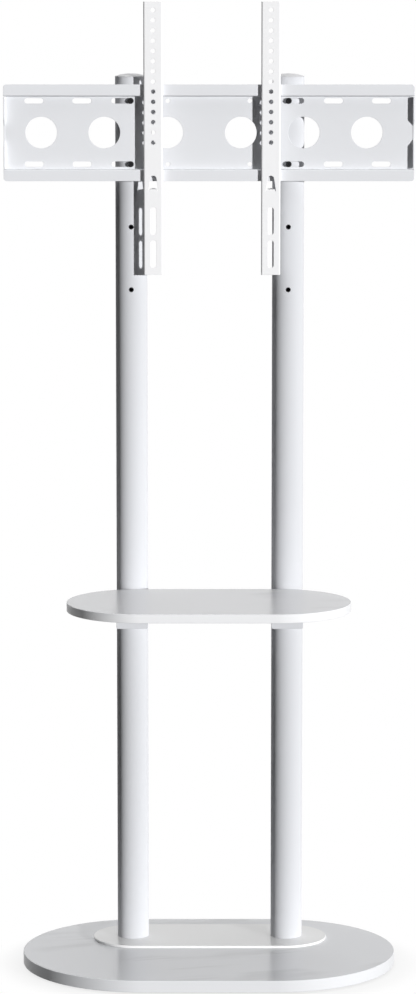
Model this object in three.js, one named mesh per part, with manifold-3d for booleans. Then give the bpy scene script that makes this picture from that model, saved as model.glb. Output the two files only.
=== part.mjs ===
// A free-standing television stand: two round columns on a board foot, with a small shelf and a
// sheet steel wall plate on which two slotted arms hang and slide.
// Millimetres, +Z up, the front faces -Y. The origin is on the floor under the foot's middle.

import * as THREE from 'three';
import { mergeVertices } from 'three/addons/utils/BufferGeometryUtils.js';
import Module from 'manifold-3d';

const wasm = await Module();
wasm.setup();

// Clearances and cutting
const seatGap = 0.3; // left between a piece and what it bears on
const cutOverrun = 1; // how far a cutter passes the faces it cuts
const joinOverlap = 0.5; // how far joined parts of one sheet run into each other
const drillShare = 3; // a cutter's length, in thicknesses of the sheet or nut it goes through
const hexagonCorner = 1 / Math.sqrt(3); // corner reach, as a share of the width across the flats

// Base board and its pads
const baseLength = 600;
const baseDepth = 388;
const baseThickness = 19;
const baseEdge = 1.2;
const padDiameter = 30;
const padThickness = 3;
const padInset = 34;

// Foot plate
const footPlateLength = 380;
const footPlateDepth = 140;
const footPlateThickness = 4;
const footPlateEdge = 0.8;

// Columns and their caps
const columnSpacing = 250;
const columnShift = 1.4; // how far right of the middle the pair of columns stands
const columnDiameter = 50.8;
const columnWall = 1.5;
const columnLength = 1400;
const columnSetback = 74;
const columnHoleDiameter = 8;
const columnHoleCount = 4;
const capRise = 4.1;
const capRim = 0.8;
const capPlugDepth = 14;
const capPlugWall = 2;

// Base bolts and foot nuts
const footNutThickness = 8;
const footNutClearance = 0.3;
const baseBoltSpacing = 24;
const baseBolt = {
  shankDiameter: 8, shankLength: 22, headDiameter: 15, headHeight: 4.4,
  socketAcross: 5, socketDepth: 2.6,
};
const baseBoltPocketDiameter = 20;
const baseBoltPocketDepth = 9;

// Wall plate
const plateWidth = 650;
const plateHeight = 152.4;
const plateBelowColumnTop = 11;
const plateSheet = 2;
const sheetBendRadius = 1.5; // to the middle of the sheet
const railHeight = 18.5;
const railProjection = 10.3;
const plateCornerRadius = 5;
const rowPitch = 100;
const windowDiameter = 50;
const windowPitch = 99.8;
const windowInnerOffset = 58.2;
const windowShift = -7.6;
const windowCount = 3; // on each side
const slotHeight = 8.7;
const mountSlotLength = 30;
const mountSlotPlaces = [199, 275];
const boltSlotLength = 34.4;
const boltSlotBeyondColumn = 10.2; // how far its middle is outside half the columns' spacing
const slotShift = -1.8; // of all the slots
const smallHoleDiameter = 7;
const smallHolePlace = 65;
const notchRootHeight = 22;
const notchMouthHeight = 41;

// Plate bolts, bracket bolts and the nuts inside the columns
const columnBolt = {
  shankDiameter: 5, shankLength: 16, headDiameter: 9.5, headHeight: 2.8,
  socketAcross: 3, socketDepth: 1.7,
};
const columnNutWidth = 10;
const columnNutThickness = 5;
const threadClearance = 0.3;

// Arms
const armLength = 430.5;
const armWidth = 30.4;
const armDepth = 7.7;
const armSheet = 2;
const armAbovePlate = 130;
const leftArmPlace = -88;
const rightArmPlace = 98;
const armHoleDiameter = 7;
const armHoleCount = 14;
const armHolePitch = 16;
const armHoleInset = 13;
const armSlotLength = 44;
const armSlotWidth = 9.3;
const armSlotPitch = 52.5;
const armSlotInset = 33;
const bellBelowPlate = 12.2;
const bellHeight = 21.3;
const bellRootWidth = 16;
const bellTipRadius = 5;
const tongueReach = 19; // from the arm's face to the folded tongue's tip
const hookHeight = 9;
const hookDrop = 10;
const hookThickness = 4;
const hookClearance = 0.8;

// Lock screws
const lockScrew = {
  shankDiameter: 5, shankLength: 24, headDiameter: 9, headHeight: 3.6,
  socketAcross: 3, socketDepth: 2,
};
const lockScrewBehindRail = 1;
const lockScrewTravel = 21; // from open, as photographed, to home behind the lower rail

// Shelf and its brackets
const shelfLength = 450;
const shelfDepth = 235;
const shelfThickness = 14;
const shelfTop = 605.5;
const shelfEdge = 1;
const bracketWidth = 51;
const bracketSheet = 3;
const bracketBendRadius = 2.5; // to the middle of the sheet
const bracketDrop = 51;
const bracketReach = 150;
const bracketCornerRadius = 3;
const bracketBoltDrops = [17, 34];
const shelfScrewShares = [0.3, 0.8]; // of the bracket's reach
const shelfScrew = {
  shankDiameter: 4, shankLength: 11, headDiameter: 8, headHeight: 2.4,
  socketAcross: 2.5, socketDepth: 1.4,
};

// How finely round shapes are stepped
const outlineSteps = 24; // an even number, so that the ends keep their full reach
const tubeSteps = 28;
const windowSteps = 24;
const holeSteps = 12;
const bendSteps = 3;
const boltSteps = 12;
const domeSteps = 3;

// Levels and faces that several pieces share
const baseTop = padThickness + baseThickness;
const footTop = baseTop + footPlateThickness;
const columnTop = footTop + columnLength;
const columnRadius = columnDiameter / 2;
const columnBore = columnRadius - columnWall;
const columnFront = columnSetback - columnRadius;
const plateTop = columnTop - plateBelowColumnTop;
const plateMiddle = plateTop - plateHeight / 2;
const plateBottom = plateTop - plateHeight;
const plateBack = columnFront - seatGap;
const recessFace = plateBack - plateSheet;
const railFace = recessFace - railProjection;
const railBack = railFace + plateSheet;
const armFace = railFace - seatGap - armDepth;
const armTop = plateTop + armAbovePlate;
const armBottom = armTop - armLength;
const bellRoot = plateBottom - bellBelowPlate;
const tongueTop = bellRoot;
const lockScrewDepth = railBack + lockScrewBehindRail + lockScrew.shankDiameter / 2;
const shelfUnderside = shelfTop - shelfThickness;
const shelfBack = columnFront - seatGap;
const shelfMiddle = shelfBack - shelfDepth / 2;
const columnPlaces = {
  left: columnShift - columnSpacing / 2, right: columnShift + columnSpacing / 2,
};
const columnHoleLevels = Array.from(
  { length: columnHoleCount },
  (unused, row) => plateMiddle + rowPitch / 2 - row * rowPitch,
);
const bracketBoltLevels = bracketBoltDrops.map((drop) => shelfUnderside - drop);

// Materials
const whiteBoard = () => new THREE.MeshStandardMaterial({
  color: 0xd3d5d9, roughness: 0.45, metalness: 0, flatShading: true,
});
const whitePaint = () => new THREE.MeshStandardMaterial({
  color: 0xe3e4e7, roughness: 0.5, metalness: 0.05, flatShading: true,
});
const whitePlastic = () => new THREE.MeshStandardMaterial({
  color: 0xdcdde0, roughness: 0.4, metalness: 0, flatShading: true,
});
const blackSteel = () => new THREE.MeshStandardMaterial({
  color: 0x141416, roughness: 0.4, metalness: 0.8, flatShading: true,
});
const zincSteel = () => new THREE.MeshStandardMaterial({
  color: 0xb4b7ba, roughness: 0.35, metalness: 0.9, flatShading: true,
});
const blackRubber = () => new THREE.MeshStandardMaterial({
  color: 0x1d1d1e, roughness: 0.9, metalness: 0, flatShading: true,
});

const stand = new THREE.Group();

// Directions in which an outline is drawn out: its own x, its own y, and the draw
const upward = new THREE.Matrix4();
const sideways = new THREE.Matrix4().makeBasis(
  new THREE.Vector3(0, 1, 0), new THREE.Vector3(0, 0, 1), new THREE.Vector3(1, 0, 0),
);
const forward = new THREE.Matrix4().makeBasis(
  new THREE.Vector3(1, 0, 0), new THREE.Vector3(0, 0, 1), new THREE.Vector3(0, -1, 0),
);

// A solid that can be joined and cut, from any closed three.js geometry
function solid(geometry) {
  const bare = geometry.index ? geometry.toNonIndexed() : geometry.clone();
  bare.deleteAttribute('normal');
  bare.deleteAttribute('uv');
  const merged = mergeVertices(bare);
  return new wasm.Manifold(new wasm.Mesh({
    numProp: 3,
    vertProperties: new Float32Array(merged.attributes.position.array),
    triVerts: new Uint32Array(merged.index.array),
  }));
}

// A named piece in the stand, from a solid
function addPiece(name, body, material, place = [0, 0, 0], turn = [0, 0, 0]) {
  const { vertProperties, triVerts } = body.getMesh();
  const geometry = new THREE.BufferGeometry();
  geometry.setAttribute('position', new THREE.BufferAttribute(vertProperties, 3));
  geometry.setIndex(new THREE.BufferAttribute(triVerts, 1));
  geometry.computeVertexNormals();
  const mesh = new THREE.Mesh(geometry, material);
  mesh.name = name;
  mesh.position.set(...place);
  mesh.rotation.set(...turn);
  stand.add(mesh);
}

// An outline drawn out to a given length, starting at a place
function prism(outline, length, direction, place, steps = outlineSteps) {
  const geometry = new THREE.ExtrudeGeometry(outline, {
    depth: length, bevelEnabled: false, curveSegments: steps,
  });
  geometry.applyMatrix4(direction);
  geometry.translate(...place);
  return solid(geometry);
}

function box(width, depth, height, place) {
  const geometry = new THREE.BoxGeometry(width, depth, height);
  geometry.translate(...place);
  return solid(geometry);
}

// A round bar or cutter along Y or along Z, by its middle
function barAlongY(diameter, length, place, steps = holeSteps) {
  const geometry = new THREE.CylinderGeometry(diameter / 2, diameter / 2, length, steps);
  geometry.translate(...place);
  return solid(geometry);
}

function barAlongZ(diameter, length, place, steps = holeSteps) {
  const geometry = new THREE.CylinderGeometry(diameter / 2, diameter / 2, length, steps);
  geometry.rotateX(Math.PI / 2);
  geometry.translate(...place);
  return solid(geometry);
}

// A straight-sided outline with half-round ends, its middle at 0, 0
function roundEnded(length, width) {
  const radius = width / 2;
  const reach = length / 2 - radius;
  const outline = new THREE.Shape();
  outline.moveTo(-reach, -radius);
  outline.lineTo(reach, -radius);
  outline.absarc(reach, 0, radius, -Math.PI / 2, Math.PI / 2, false);
  outline.lineTo(-reach, radius);
  outline.absarc(-reach, 0, radius, Math.PI / 2, Math.PI * 3 / 2, false);
  return outline;
}

// A board or plate with half-round ends and a small chamfer round its upper edge
function roundEndedBoard(length, depth, thickness, edge, place) {
  const radius = depth / 2;
  const reach = length / 2 - radius;
  const endPoints = outlineSteps + 1;
  const ringSteps = endPoints * 2;
  const rings = [[0, 0], [0, thickness - edge], [edge, thickness]];
  const positions = [];
  const triangles = [];
  for (const [inset, height] of rings) {
    for (let step = 0; step < ringSteps; step += 1) {
      const half = step < endPoints ? 1 : -1;
      const share = (step % endPoints) / outlineSteps;
      const angle = (share - 1 / 2) * Math.PI + (half < 0 ? Math.PI : 0);
      positions.push(
        half * reach + (radius - inset) * Math.cos(angle), (radius - inset) * Math.sin(angle), height,
      );
    }
  }
  for (let ring = 0; ring < rings.length - 1; ring += 1) {
    for (let step = 0; step < ringSteps; step += 1) {
      const low = ring * ringSteps + step;
      const lowNext = ring * ringSteps + (step + 1) % ringSteps;
      triangles.push(low, lowNext, lowNext + ringSteps, low, lowNext + ringSteps, low + ringSteps);
    }
  }
  const lastRing = (rings.length - 1) * ringSteps;
  for (let step = 1; step < ringSteps - 1; step += 1) {
    triangles.push(0, step + 1, step, lastRing, lastRing + step, lastRing + step + 1);
  }
  const geometry = new THREE.BufferGeometry();
  geometry.setAttribute('position', new THREE.BufferAttribute(new Float32Array(positions), 3));
  geometry.setIndex(triangles);
  geometry.translate(...place);
  return solid(geometry);
}

// The section of a folded sheet, from the middle line of the sheet with its folds rounded
function sheetSection(path, thickness, bendRadius) {
  const points = path.map(([x, y]) => new THREE.Vector2(x, y));
  const sides = { left: [], right: [] };
  const addPair = (middle, normal) => {
    sides.left.push(middle.clone().addScaledVector(normal, thickness / 2));
    sides.right.push(middle.clone().addScaledVector(normal, -thickness / 2));
  };
  const directions = points.slice(1).map((point, index) => point.clone().sub(points[index]).normalize());
  const normals = directions.map((way) => new THREE.Vector2(-way.y, way.x));
  addPair(points[0], normals[0]);
  for (let fold = 1; fold < points.length - 1; fold += 1) {
    const turn = Math.atan2(
      directions[fold - 1].cross(directions[fold]), directions[fold - 1].dot(directions[fold]),
    );
    const side = Math.sign(turn);
    const setback = bendRadius * Math.tan(Math.abs(turn) / 2);
    const start = points[fold].clone().addScaledVector(directions[fold - 1], -setback);
    const middle = start.clone().addScaledVector(normals[fold - 1], side * bendRadius);
    for (let step = 0; step <= bendSteps; step += 1) {
      const angle = turn * step / bendSteps;
      const normal = normals[fold - 1].clone().rotateAround(new THREE.Vector2(), angle);
      addPair(middle.clone().addScaledVector(normal, -side * bendRadius), normal);
    }
  }
  addPair(points.at(-1), normals.at(-1));
  return new THREE.Shape([...sides.right, ...sides.left.reverse()]);
}

// A bolt with a domed head and a hexagon socket, the head up and its seat at height 0
function boltSolid({ shankDiameter, shankLength, headDiameter, headHeight, socketAcross, socketDepth }) {
  const shank = shankDiameter / 2;
  const head = headDiameter / 2;
  const tip = shank / 4;
  const crown = (head + socketAcross) / 2;
  const profile = [
    [0, -shankLength], [shank - tip, -shankLength], [shank, tip - shankLength], [shank, 0], [head, 0],
    [head, headHeight / 3], [crown, headHeight], [0, headHeight],
  ];
  const turned = new THREE.LatheGeometry(profile.map(([r, h]) => new THREE.Vector2(r, h)), boltSteps);
  turned.rotateX(Math.PI / 2);
  const socket = new THREE.CylinderGeometry(
    socketAcross * hexagonCorner, socketAcross * hexagonCorner, socketDepth + cutOverrun, 6,
  );
  socket.rotateX(Math.PI / 2);
  socket.translate(0, 0, headHeight + (cutOverrun - socketDepth) / 2);
  return solid(turned).subtract(solid(socket));
}

// Base board, with a pocket and a hole for each base bolt, and its rubber pads
function boltPlaces(columnPlace) {
  return [-1, 1].map((side) => columnPlace + side * baseBoltSpacing / 2);
}

const baseBoltHoleDiameter = baseBolt.shankDiameter + 2 * threadClearance;

function baseBoard() {
  let board = roundEndedBoard(baseLength, baseDepth, baseThickness, baseEdge, [0, 0, padThickness]);
  for (const x of Object.values(columnPlaces).flatMap(boltPlaces)) {
    const pocketLength = baseBoltPocketDepth + cutOverrun;
    const pocketMiddle = padThickness + baseBoltPocketDepth - pocketLength / 2;
    board = board.subtract(barAlongZ(
      baseBoltPocketDiameter, pocketLength, [x, columnSetback, pocketMiddle], boltSteps,
    ));
    board = board.subtract(barAlongZ(
      baseBoltHoleDiameter, baseThickness * 2, [x, columnSetback, baseTop], holeSteps,
    ));
  }
  return board;
}
addPiece('base_board', baseBoard(), whiteBoard());

const padReach = baseLength / 2 - padInset - padDiameter / 2;
const padSideReach = baseDepth / 2 - padInset;
const padStraight = (baseLength - baseDepth) / 2;
const padPlaces = [
  [-padReach, 0], [-padStraight, -padSideReach], [padStraight, -padSideReach],
  [padReach, 0], [padStraight, padSideReach], [-padStraight, padSideReach],
];
padPlaces.forEach(([x, y], index) => {
  const pad = barAlongZ(padDiameter, padThickness, [0, 0, padThickness / 2], boltSteps);
  addPiece(`base_pad_${index + 1}`, pad, blackRubber(), [x, y, 0]);
});

// Foot plate
function footPlate() {
  let plate = roundEndedBoard(
    footPlateLength, footPlateDepth, footPlateThickness, footPlateEdge,
    [columnShift, columnSetback, baseTop],
  );
  for (const x of Object.values(columnPlaces).flatMap(boltPlaces)) {
    plate = plate.subtract(barAlongZ(
      baseBoltHoleDiameter, footPlateThickness + 2 * cutOverrun,
      [x, columnSetback, baseTop + footPlateThickness / 2],
    ));
  }
  return plate;
}
addPiece('foot_plate', footPlate(), whitePaint());

// Columns, their caps and the threaded discs in their feet
function columnTube() {
  const ring = new THREE.Shape().absarc(0, 0, columnRadius, 0, Math.PI * 2, false);
  ring.holes.push(new THREE.Path().absarc(0, 0, columnBore, 0, Math.PI * 2, true));
  let tube = prism(ring, columnLength, upward, [0, 0, footTop], tubeSteps);
  for (const level of [...columnHoleLevels, ...bracketBoltLevels]) {
    tube = tube.subtract(barAlongY(columnHoleDiameter, columnRadius, [0, -columnRadius, level]));
  }
  return tube;
}

function columnCap() {
  const plug = columnBore - seatGap;
  const rise = capRim + capRise;
  const profile = [[0, -capPlugWall], [plug - capPlugWall, -capPlugWall]];
  profile.push([plug - capPlugWall, -capPlugDepth], [plug, -capPlugDepth], [plug, 0], [columnRadius, 0]);
  for (let step = 0; step < domeSteps; step += 1) {
    const reach = 1 - step / domeSteps;
    profile.push([columnRadius * reach, capRim + capRise * (1 - reach * reach)]);
  }
  profile.push([0, rise]);
  const turned = new THREE.LatheGeometry(profile.map(([r, h]) => new THREE.Vector2(r, h)), tubeSteps);
  turned.rotateX(Math.PI / 2);
  return solid(turned);
}

function footNut() {
  const diameter = 2 * (columnBore - footNutClearance);
  let nut = barAlongZ(diameter, footNutThickness, [0, 0, footNutThickness / 2], tubeSteps);
  for (const x of boltPlaces(0)) {
    nut = nut.subtract(barAlongZ(
      baseBoltHoleDiameter, footNutThickness + 2 * cutOverrun, [x, 0, footNutThickness / 2],
    ));
  }
  return nut;
}

// Square nuts that are welded behind the holes in the columns
const columnNutSeat = Math.sqrt(columnBore ** 2 - (columnNutWidth / 2) ** 2) - seatGap;

function columnNut() {
  const thread = columnBolt.shankDiameter + 2 * threadClearance;
  const block = box(columnNutWidth, columnNutThickness, columnNutWidth, [0, columnNutThickness / 2, 0]);
  return block.subtract(barAlongY(thread, columnNutThickness * drillShare, [0, 0, 0]));
}

const headForward = [Math.PI / 2, 0, 0];
const headDown = [Math.PI, 0, 0];

for (const [side, x] of Object.entries(columnPlaces)) {
  addPiece(`${side}_column`, columnTube(), whitePaint(), [x, columnSetback, 0]);
  addPiece(`${side}_column_cap`, columnCap(), whitePlastic(), [x, columnSetback, columnTop]);
  addPiece(`${side}_foot_nut`, footNut(), zincSteel(), [x, columnSetback, footTop]);
  const baseBoltSeat = padThickness + baseBoltPocketDepth - seatGap;
  boltPlaces(x).forEach((boltX, index) => {
    const place = [boltX, columnSetback, baseBoltSeat];
    addPiece(`${side}_base_bolt_${index + 1}`, boltSolid(baseBolt), zincSteel(), place, headDown);
  });
  const nutPlace = columnSetback - columnNutSeat;
  columnHoleLevels.forEach((level, index) => {
    addPiece(`${side}_plate_nut_${index + 1}`, columnNut(), blackSteel(), [x, nutPlace, level]);
  });
  bracketBoltLevels.forEach((level, index) => {
    addPiece(`${side}_bracket_nut_${index + 1}`, columnNut(), blackSteel(), [x, nutPlace, level]);
  });
}

// Wall plate: a sheet folded forward into a rail at the top and at the bottom, then pierced
function plateBlank() {
  const half = plateSheet / 2;
  const path = [
    [railFace + half, plateBottom], [railFace + half, plateBottom + railHeight - half],
    [recessFace + half, plateBottom + railHeight - half], [recessFace + half, plateTop - railHeight + half],
    [railFace + half, plateTop - railHeight + half], [railFace + half, plateTop],
  ];
  const section = sheetSection(path, plateSheet, sheetBendRadius);
  let blank = prism(section, plateWidth, sideways, [-plateWidth / 2, 0, 0]);
  const lipDepth = plateBack - railFace;
  const lipHeight = plateHeight - 2 * railHeight + 2 * joinOverlap;
  for (const side of [-1, 1]) {
    const lipPlace = [side * (plateWidth - plateSheet) / 2, plateBack - lipDepth / 2, plateMiddle];
    blank = blank.add(box(plateSheet, lipDepth, lipHeight, lipPlace));
  }
  return blank;
}

// What the plate's outline leaves over at its four corners
function plateCornerWaste() {
  const outer = new THREE.Shape();
  const reach = plateWidth / 2 + cutOverrun;
  const rise = plateHeight / 2 + cutOverrun;
  outer.moveTo(-reach, -rise).lineTo(reach, -rise).lineTo(reach, rise).lineTo(-reach, rise);
  const kept = roundedRectangle(plateWidth, plateHeight, plateCornerRadius);
  outer.holes.push(new THREE.Path(kept.getPoints(bendSteps).reverse()));
  const depth = plateBack - railFace + 2 * cutOverrun;
  return prism(outer, depth, forward, [0, plateBack + cutOverrun, plateMiddle], bendSteps);
}

function roundedRectangle(width, height, radius) {
  const outline = new THREE.Shape();
  const x = width / 2 - radius;
  const y = height / 2 - radius;
  outline.absarc(x, -y, radius, -Math.PI / 2, 0, false);
  outline.absarc(x, y, radius, 0, Math.PI / 2, false);
  outline.absarc(-x, y, radius, Math.PI / 2, Math.PI, false);
  outline.absarc(-x, -y, radius, Math.PI, Math.PI * 3 / 2, false);
  outline.closePath();
  return outline;
}

// The wedge-shaped notch in the middle of each end lip
function lipNotches() {
  const outline = new THREE.Shape([
    new THREE.Vector2(recessFace, -notchRootHeight / 2),
    new THREE.Vector2(railFace, -notchMouthHeight / 2),
    new THREE.Vector2(railFace - cutOverrun, -notchMouthHeight / 2),
    new THREE.Vector2(railFace - cutOverrun, notchMouthHeight / 2),
    new THREE.Vector2(railFace, notchMouthHeight / 2),
    new THREE.Vector2(recessFace, notchRootHeight / 2),
  ]);
  const place = [-plateWidth / 2 - cutOverrun, 0, plateMiddle];
  return prism(outline, plateWidth + 2 * cutOverrun, sideways, place);
}

function plateSlot(x, level, length) {
  const outline = roundEnded(length, slotHeight);
  const depth = plateSheet + 2 * cutOverrun;
  return prism(outline, depth, forward, [x, plateBack + cutOverrun, level], holeSteps / 2);
}

function wallPlate() {
  let plate = plateBlank().subtract(plateCornerWaste()).subtract(lipNotches());
  const holeLength = 2 * plateSheet;
  const holeDepth = plateBack - plateSheet / 2;
  for (const side of [-1, 1]) {
    for (let index = 0; index < windowCount; index += 1) {
      const x = windowShift + side * (windowInnerOffset + index * windowPitch);
      const place = [x, holeDepth, plateMiddle];
      plate = plate.subtract(barAlongY(windowDiameter, holeLength, place, windowSteps));
    }
    for (const row of [-1, 1]) {
      const level = plateMiddle + row * rowPitch / 2;
      for (const x of mountSlotPlaces) {
        plate = plate.subtract(plateSlot(slotShift + side * x, level, mountSlotLength));
      }
      const boltSlotMiddle = slotShift + side * (columnSpacing / 2 + boltSlotBeyondColumn);
      plate = plate.subtract(plateSlot(boltSlotMiddle, level, boltSlotLength));
      const place = [side * smallHolePlace, holeDepth, level];
      plate = plate.subtract(barAlongY(smallHoleDiameter, holeLength, place));
    }
  }
  return plate;
}
addPiece('wall_plate', wallPlate(), whitePaint());

for (const [side, x] of Object.entries(columnPlaces)) {
  columnHoleLevels.slice(0, 2).forEach((level, index) => {
    const place = [x, recessFace - seatGap, level];
    addPiece(`${side}_plate_bolt_${index + 1}`, boltSolid(columnBolt), blackSteel(), place, headForward);
  });
}

// An arm: a folded channel whose flanges bear on the rails, with hooks over the upper rail and a
// tongue folded back under the lower rail. It is drawn about its own middle line.
function bellOutline(root) {
  const outline = new THREE.Shape();
  const shoulder = root + bellHeight - bellTipRadius;
  outline.moveTo(-bellRootWidth / 2, root);
  outline.lineTo(bellRootWidth / 2, root);
  outline.lineTo(bellTipRadius, shoulder);
  outline.absarc(0, shoulder, bellTipRadius, 0, Math.PI, false);
  outline.closePath();
  return outline;
}

function armHook(place) {
  const back = railBack + hookClearance;
  const seat = plateTop + seatGap;
  const flangeBack = armFace + armDepth;
  const outline = new THREE.Shape([
    new THREE.Vector2(flangeBack - joinOverlap, seat),
    new THREE.Vector2(back, seat),
    new THREE.Vector2(back, plateTop - hookDrop),
    new THREE.Vector2(back + hookThickness, plateTop - hookDrop),
    new THREE.Vector2(back + hookThickness, seat + hookHeight / 2),
    new THREE.Vector2(back, seat + hookHeight),
    new THREE.Vector2(flangeBack - joinOverlap, seat + 2 * hookHeight),
  ]);
  return prism(outline, armSheet, sideways, [place, 0, 0]);
}

function armTongue() {
  const outline = new THREE.Shape();
  const tip = armFace + tongueReach - bellTipRadius;
  const root = armFace + armSheet / 2;
  outline.moveTo(bellRootWidth / 2, root);
  outline.lineTo(bellTipRadius, tip);
  outline.absarc(0, tip, bellTipRadius, 0, Math.PI, false);
  outline.lineTo(-bellRootWidth / 2, root);
  outline.closePath();
  const tongue = prism(outline, armSheet, upward, [0, 0, tongueTop - armSheet], holeSteps / 2);
  const thread = lockScrew.shankDiameter + 2 * threadClearance;
  return tongue.subtract(barAlongZ(thread, armSheet * drillShare, [0, lockScrewDepth, tongueTop]));
}

function arm() {
  const half = armSheet / 2;
  const reach = (armWidth - armSheet) / 2;
  const flangeBack = armFace + armDepth;
  const path = [
    [-reach, flangeBack], [-reach, armFace + half], [reach, armFace + half], [reach, flangeBack],
  ];
  const section = sheetSection(path, armSheet, sheetBendRadius);
  let channel = prism(section, armLength, upward, [0, 0, armBottom]);
  channel = channel.add(armHook(-armWidth / 2)).add(armHook(armWidth / 2 - armSheet));
  const cutPlace = [0, armFace + armSheet + cutOverrun, 0];
  const cutDepth = armSheet + 2 * cutOverrun;
  channel = channel.subtract(prism(bellOutline(bellRoot), cutDepth, forward, cutPlace, holeSteps / 2));
  for (let index = 0; index < armHoleCount; index += 1) {
    const level = armTop - armHoleInset - index * armHolePitch;
    const place = [0, armFace + armSheet / 2, level];
    channel = channel.subtract(barAlongY(armHoleDiameter, cutDepth, place));
  }
  for (const level of [armBottom + armSlotInset, armBottom + armSlotInset + armSlotPitch]) {
    const outline = uprightSlot(armSlotLength, armSlotWidth);
    const place = [0, cutPlace[1], level];
    channel = channel.subtract(prism(outline, cutDepth, forward, place, holeSteps / 2));
  }
  return channel.add(armTongue());
}

function uprightSlot(length, width) {
  const radius = width / 2;
  const reach = length / 2 - radius;
  const outline = new THREE.Shape();
  outline.moveTo(radius, -reach);
  outline.absarc(0, reach, radius, 0, Math.PI, false);
  outline.absarc(0, -reach, radius, Math.PI, Math.PI * 2, false);
  return outline;
}

const lockScrewSeat = tongueTop - armSheet - seatGap - lockScrewTravel;

for (const [side, x] of Object.entries({ left: leftArmPlace, right: rightArmPlace })) {
  addPiece(`${side}_arm`, arm(), whitePaint(), [x, 0, 0]);
  const place = [x, lockScrewDepth, lockScrewSeat];
  addPiece(`${side}_lock_screw`, boltSolid(lockScrew), zincSteel(), place, headDown);
}

// Shelf board with pilot holes, its brackets, and their bolts and screws
const shelfScrewPlaces = shelfScrewShares.map((share) => shelfBack - share * bracketReach);

function shelfBoard() {
  let board = roundEndedBoard(
    shelfLength, shelfDepth, shelfThickness, shelfEdge, [0, shelfMiddle, shelfUnderside],
  );
  const pilot = shelfScrew.shankDiameter + 2 * threadClearance;
  const pilotLength = 2 * shelfScrew.shankLength;
  for (const x of Object.values(columnPlaces)) {
    for (const y of shelfScrewPlaces) {
      board = board.subtract(barAlongZ(pilot, pilotLength, [x, y, shelfUnderside]));
    }
  }
  return board;
}
addPiece('shelf_board', shelfBoard(), whiteBoard());

function shelfBracket() {
  const half = bracketSheet / 2;
  const legMiddle = shelfBack - half;
  const armMiddle = shelfUnderside - half;
  const path = [
    [legMiddle, shelfUnderside - bracketDrop], [legMiddle, armMiddle], [shelfBack - bracketReach, armMiddle],
  ];
  const section = sheetSection(path, bracketSheet, bracketBendRadius);
  let bracket = prism(section, bracketWidth, sideways, [-bracketWidth / 2, 0, 0]);
  bracket = bracket.subtract(bracketCornerWaste());
  const hole = columnBolt.shankDiameter + 2 * threadClearance;
  for (const level of bracketBoltLevels) {
    bracket = bracket.subtract(barAlongY(hole, bracketSheet * drillShare, [0, legMiddle, level]));
  }
  for (const y of shelfScrewPlaces) {
    const screwHole = shelfScrew.shankDiameter + 2 * threadClearance;
    bracket = bracket.subtract(barAlongZ(screwHole, bracketSheet * drillShare, [0, y, armMiddle]));
  }
  return bracket;
}

// What the rounded lower corners of a bracket leave over
function bracketCornerWaste() {
  const outline = new THREE.Shape();
  const side = bracketWidth / 2;
  const radius = bracketCornerRadius;
  outline.moveTo(-side - cutOverrun, radius).lineTo(-side - cutOverrun, -cutOverrun);
  outline.lineTo(side + cutOverrun, -cutOverrun).lineTo(side + cutOverrun, radius);
  outline.lineTo(side, radius);
  outline.absarc(side - radius, radius, radius, 0, -Math.PI / 2, true);
  outline.absarc(radius - side, radius, radius, -Math.PI / 2, -Math.PI, true);
  outline.closePath();
  const place = [0, shelfBack + cutOverrun, shelfUnderside - bracketDrop];
  return prism(outline, bracketSheet + 2 * cutOverrun, forward, place, bendSteps);
}

const bracketBoltSeat = shelfBack - bracketSheet - seatGap;
const shelfScrewSeat = shelfUnderside - bracketSheet - seatGap;

for (const [side, x] of Object.entries(columnPlaces)) {
  addPiece(`${side}_shelf_bracket`, shelfBracket(), whitePaint(), [x, 0, 0]);
  bracketBoltLevels.forEach((level, index) => {
    const place = [x, bracketBoltSeat, level];
    addPiece(`${side}_bracket_bolt_${index + 1}`, boltSolid(columnBolt), blackSteel(), place, headForward);
  });
  shelfScrewPlaces.forEach((y, index) => {
    const place = [x, y, shelfScrewSeat];
    addPiece(`${side}_shelf_screw_${index + 1}`, boltSolid(shelfScrew), zincSteel(), place, headDown);
  });
}

export default stand;
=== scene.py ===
# %% [markdown]
# # A television stand with a shelf and a hanging mount
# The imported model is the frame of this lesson: plain solids that say where each part sits and how
# it moves. Each visible part is built again in its own place, finer than its solid, and gets a
# finish made of nodes. Every piece rides on a body of the frame, so the arms still slide. Lengths
# are in metres and angles in degrees, unless a comment says something else.

# %% Load the frame and keep its box
import math

import bmesh
import bpy
from mathutils import Matrix, Vector


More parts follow.
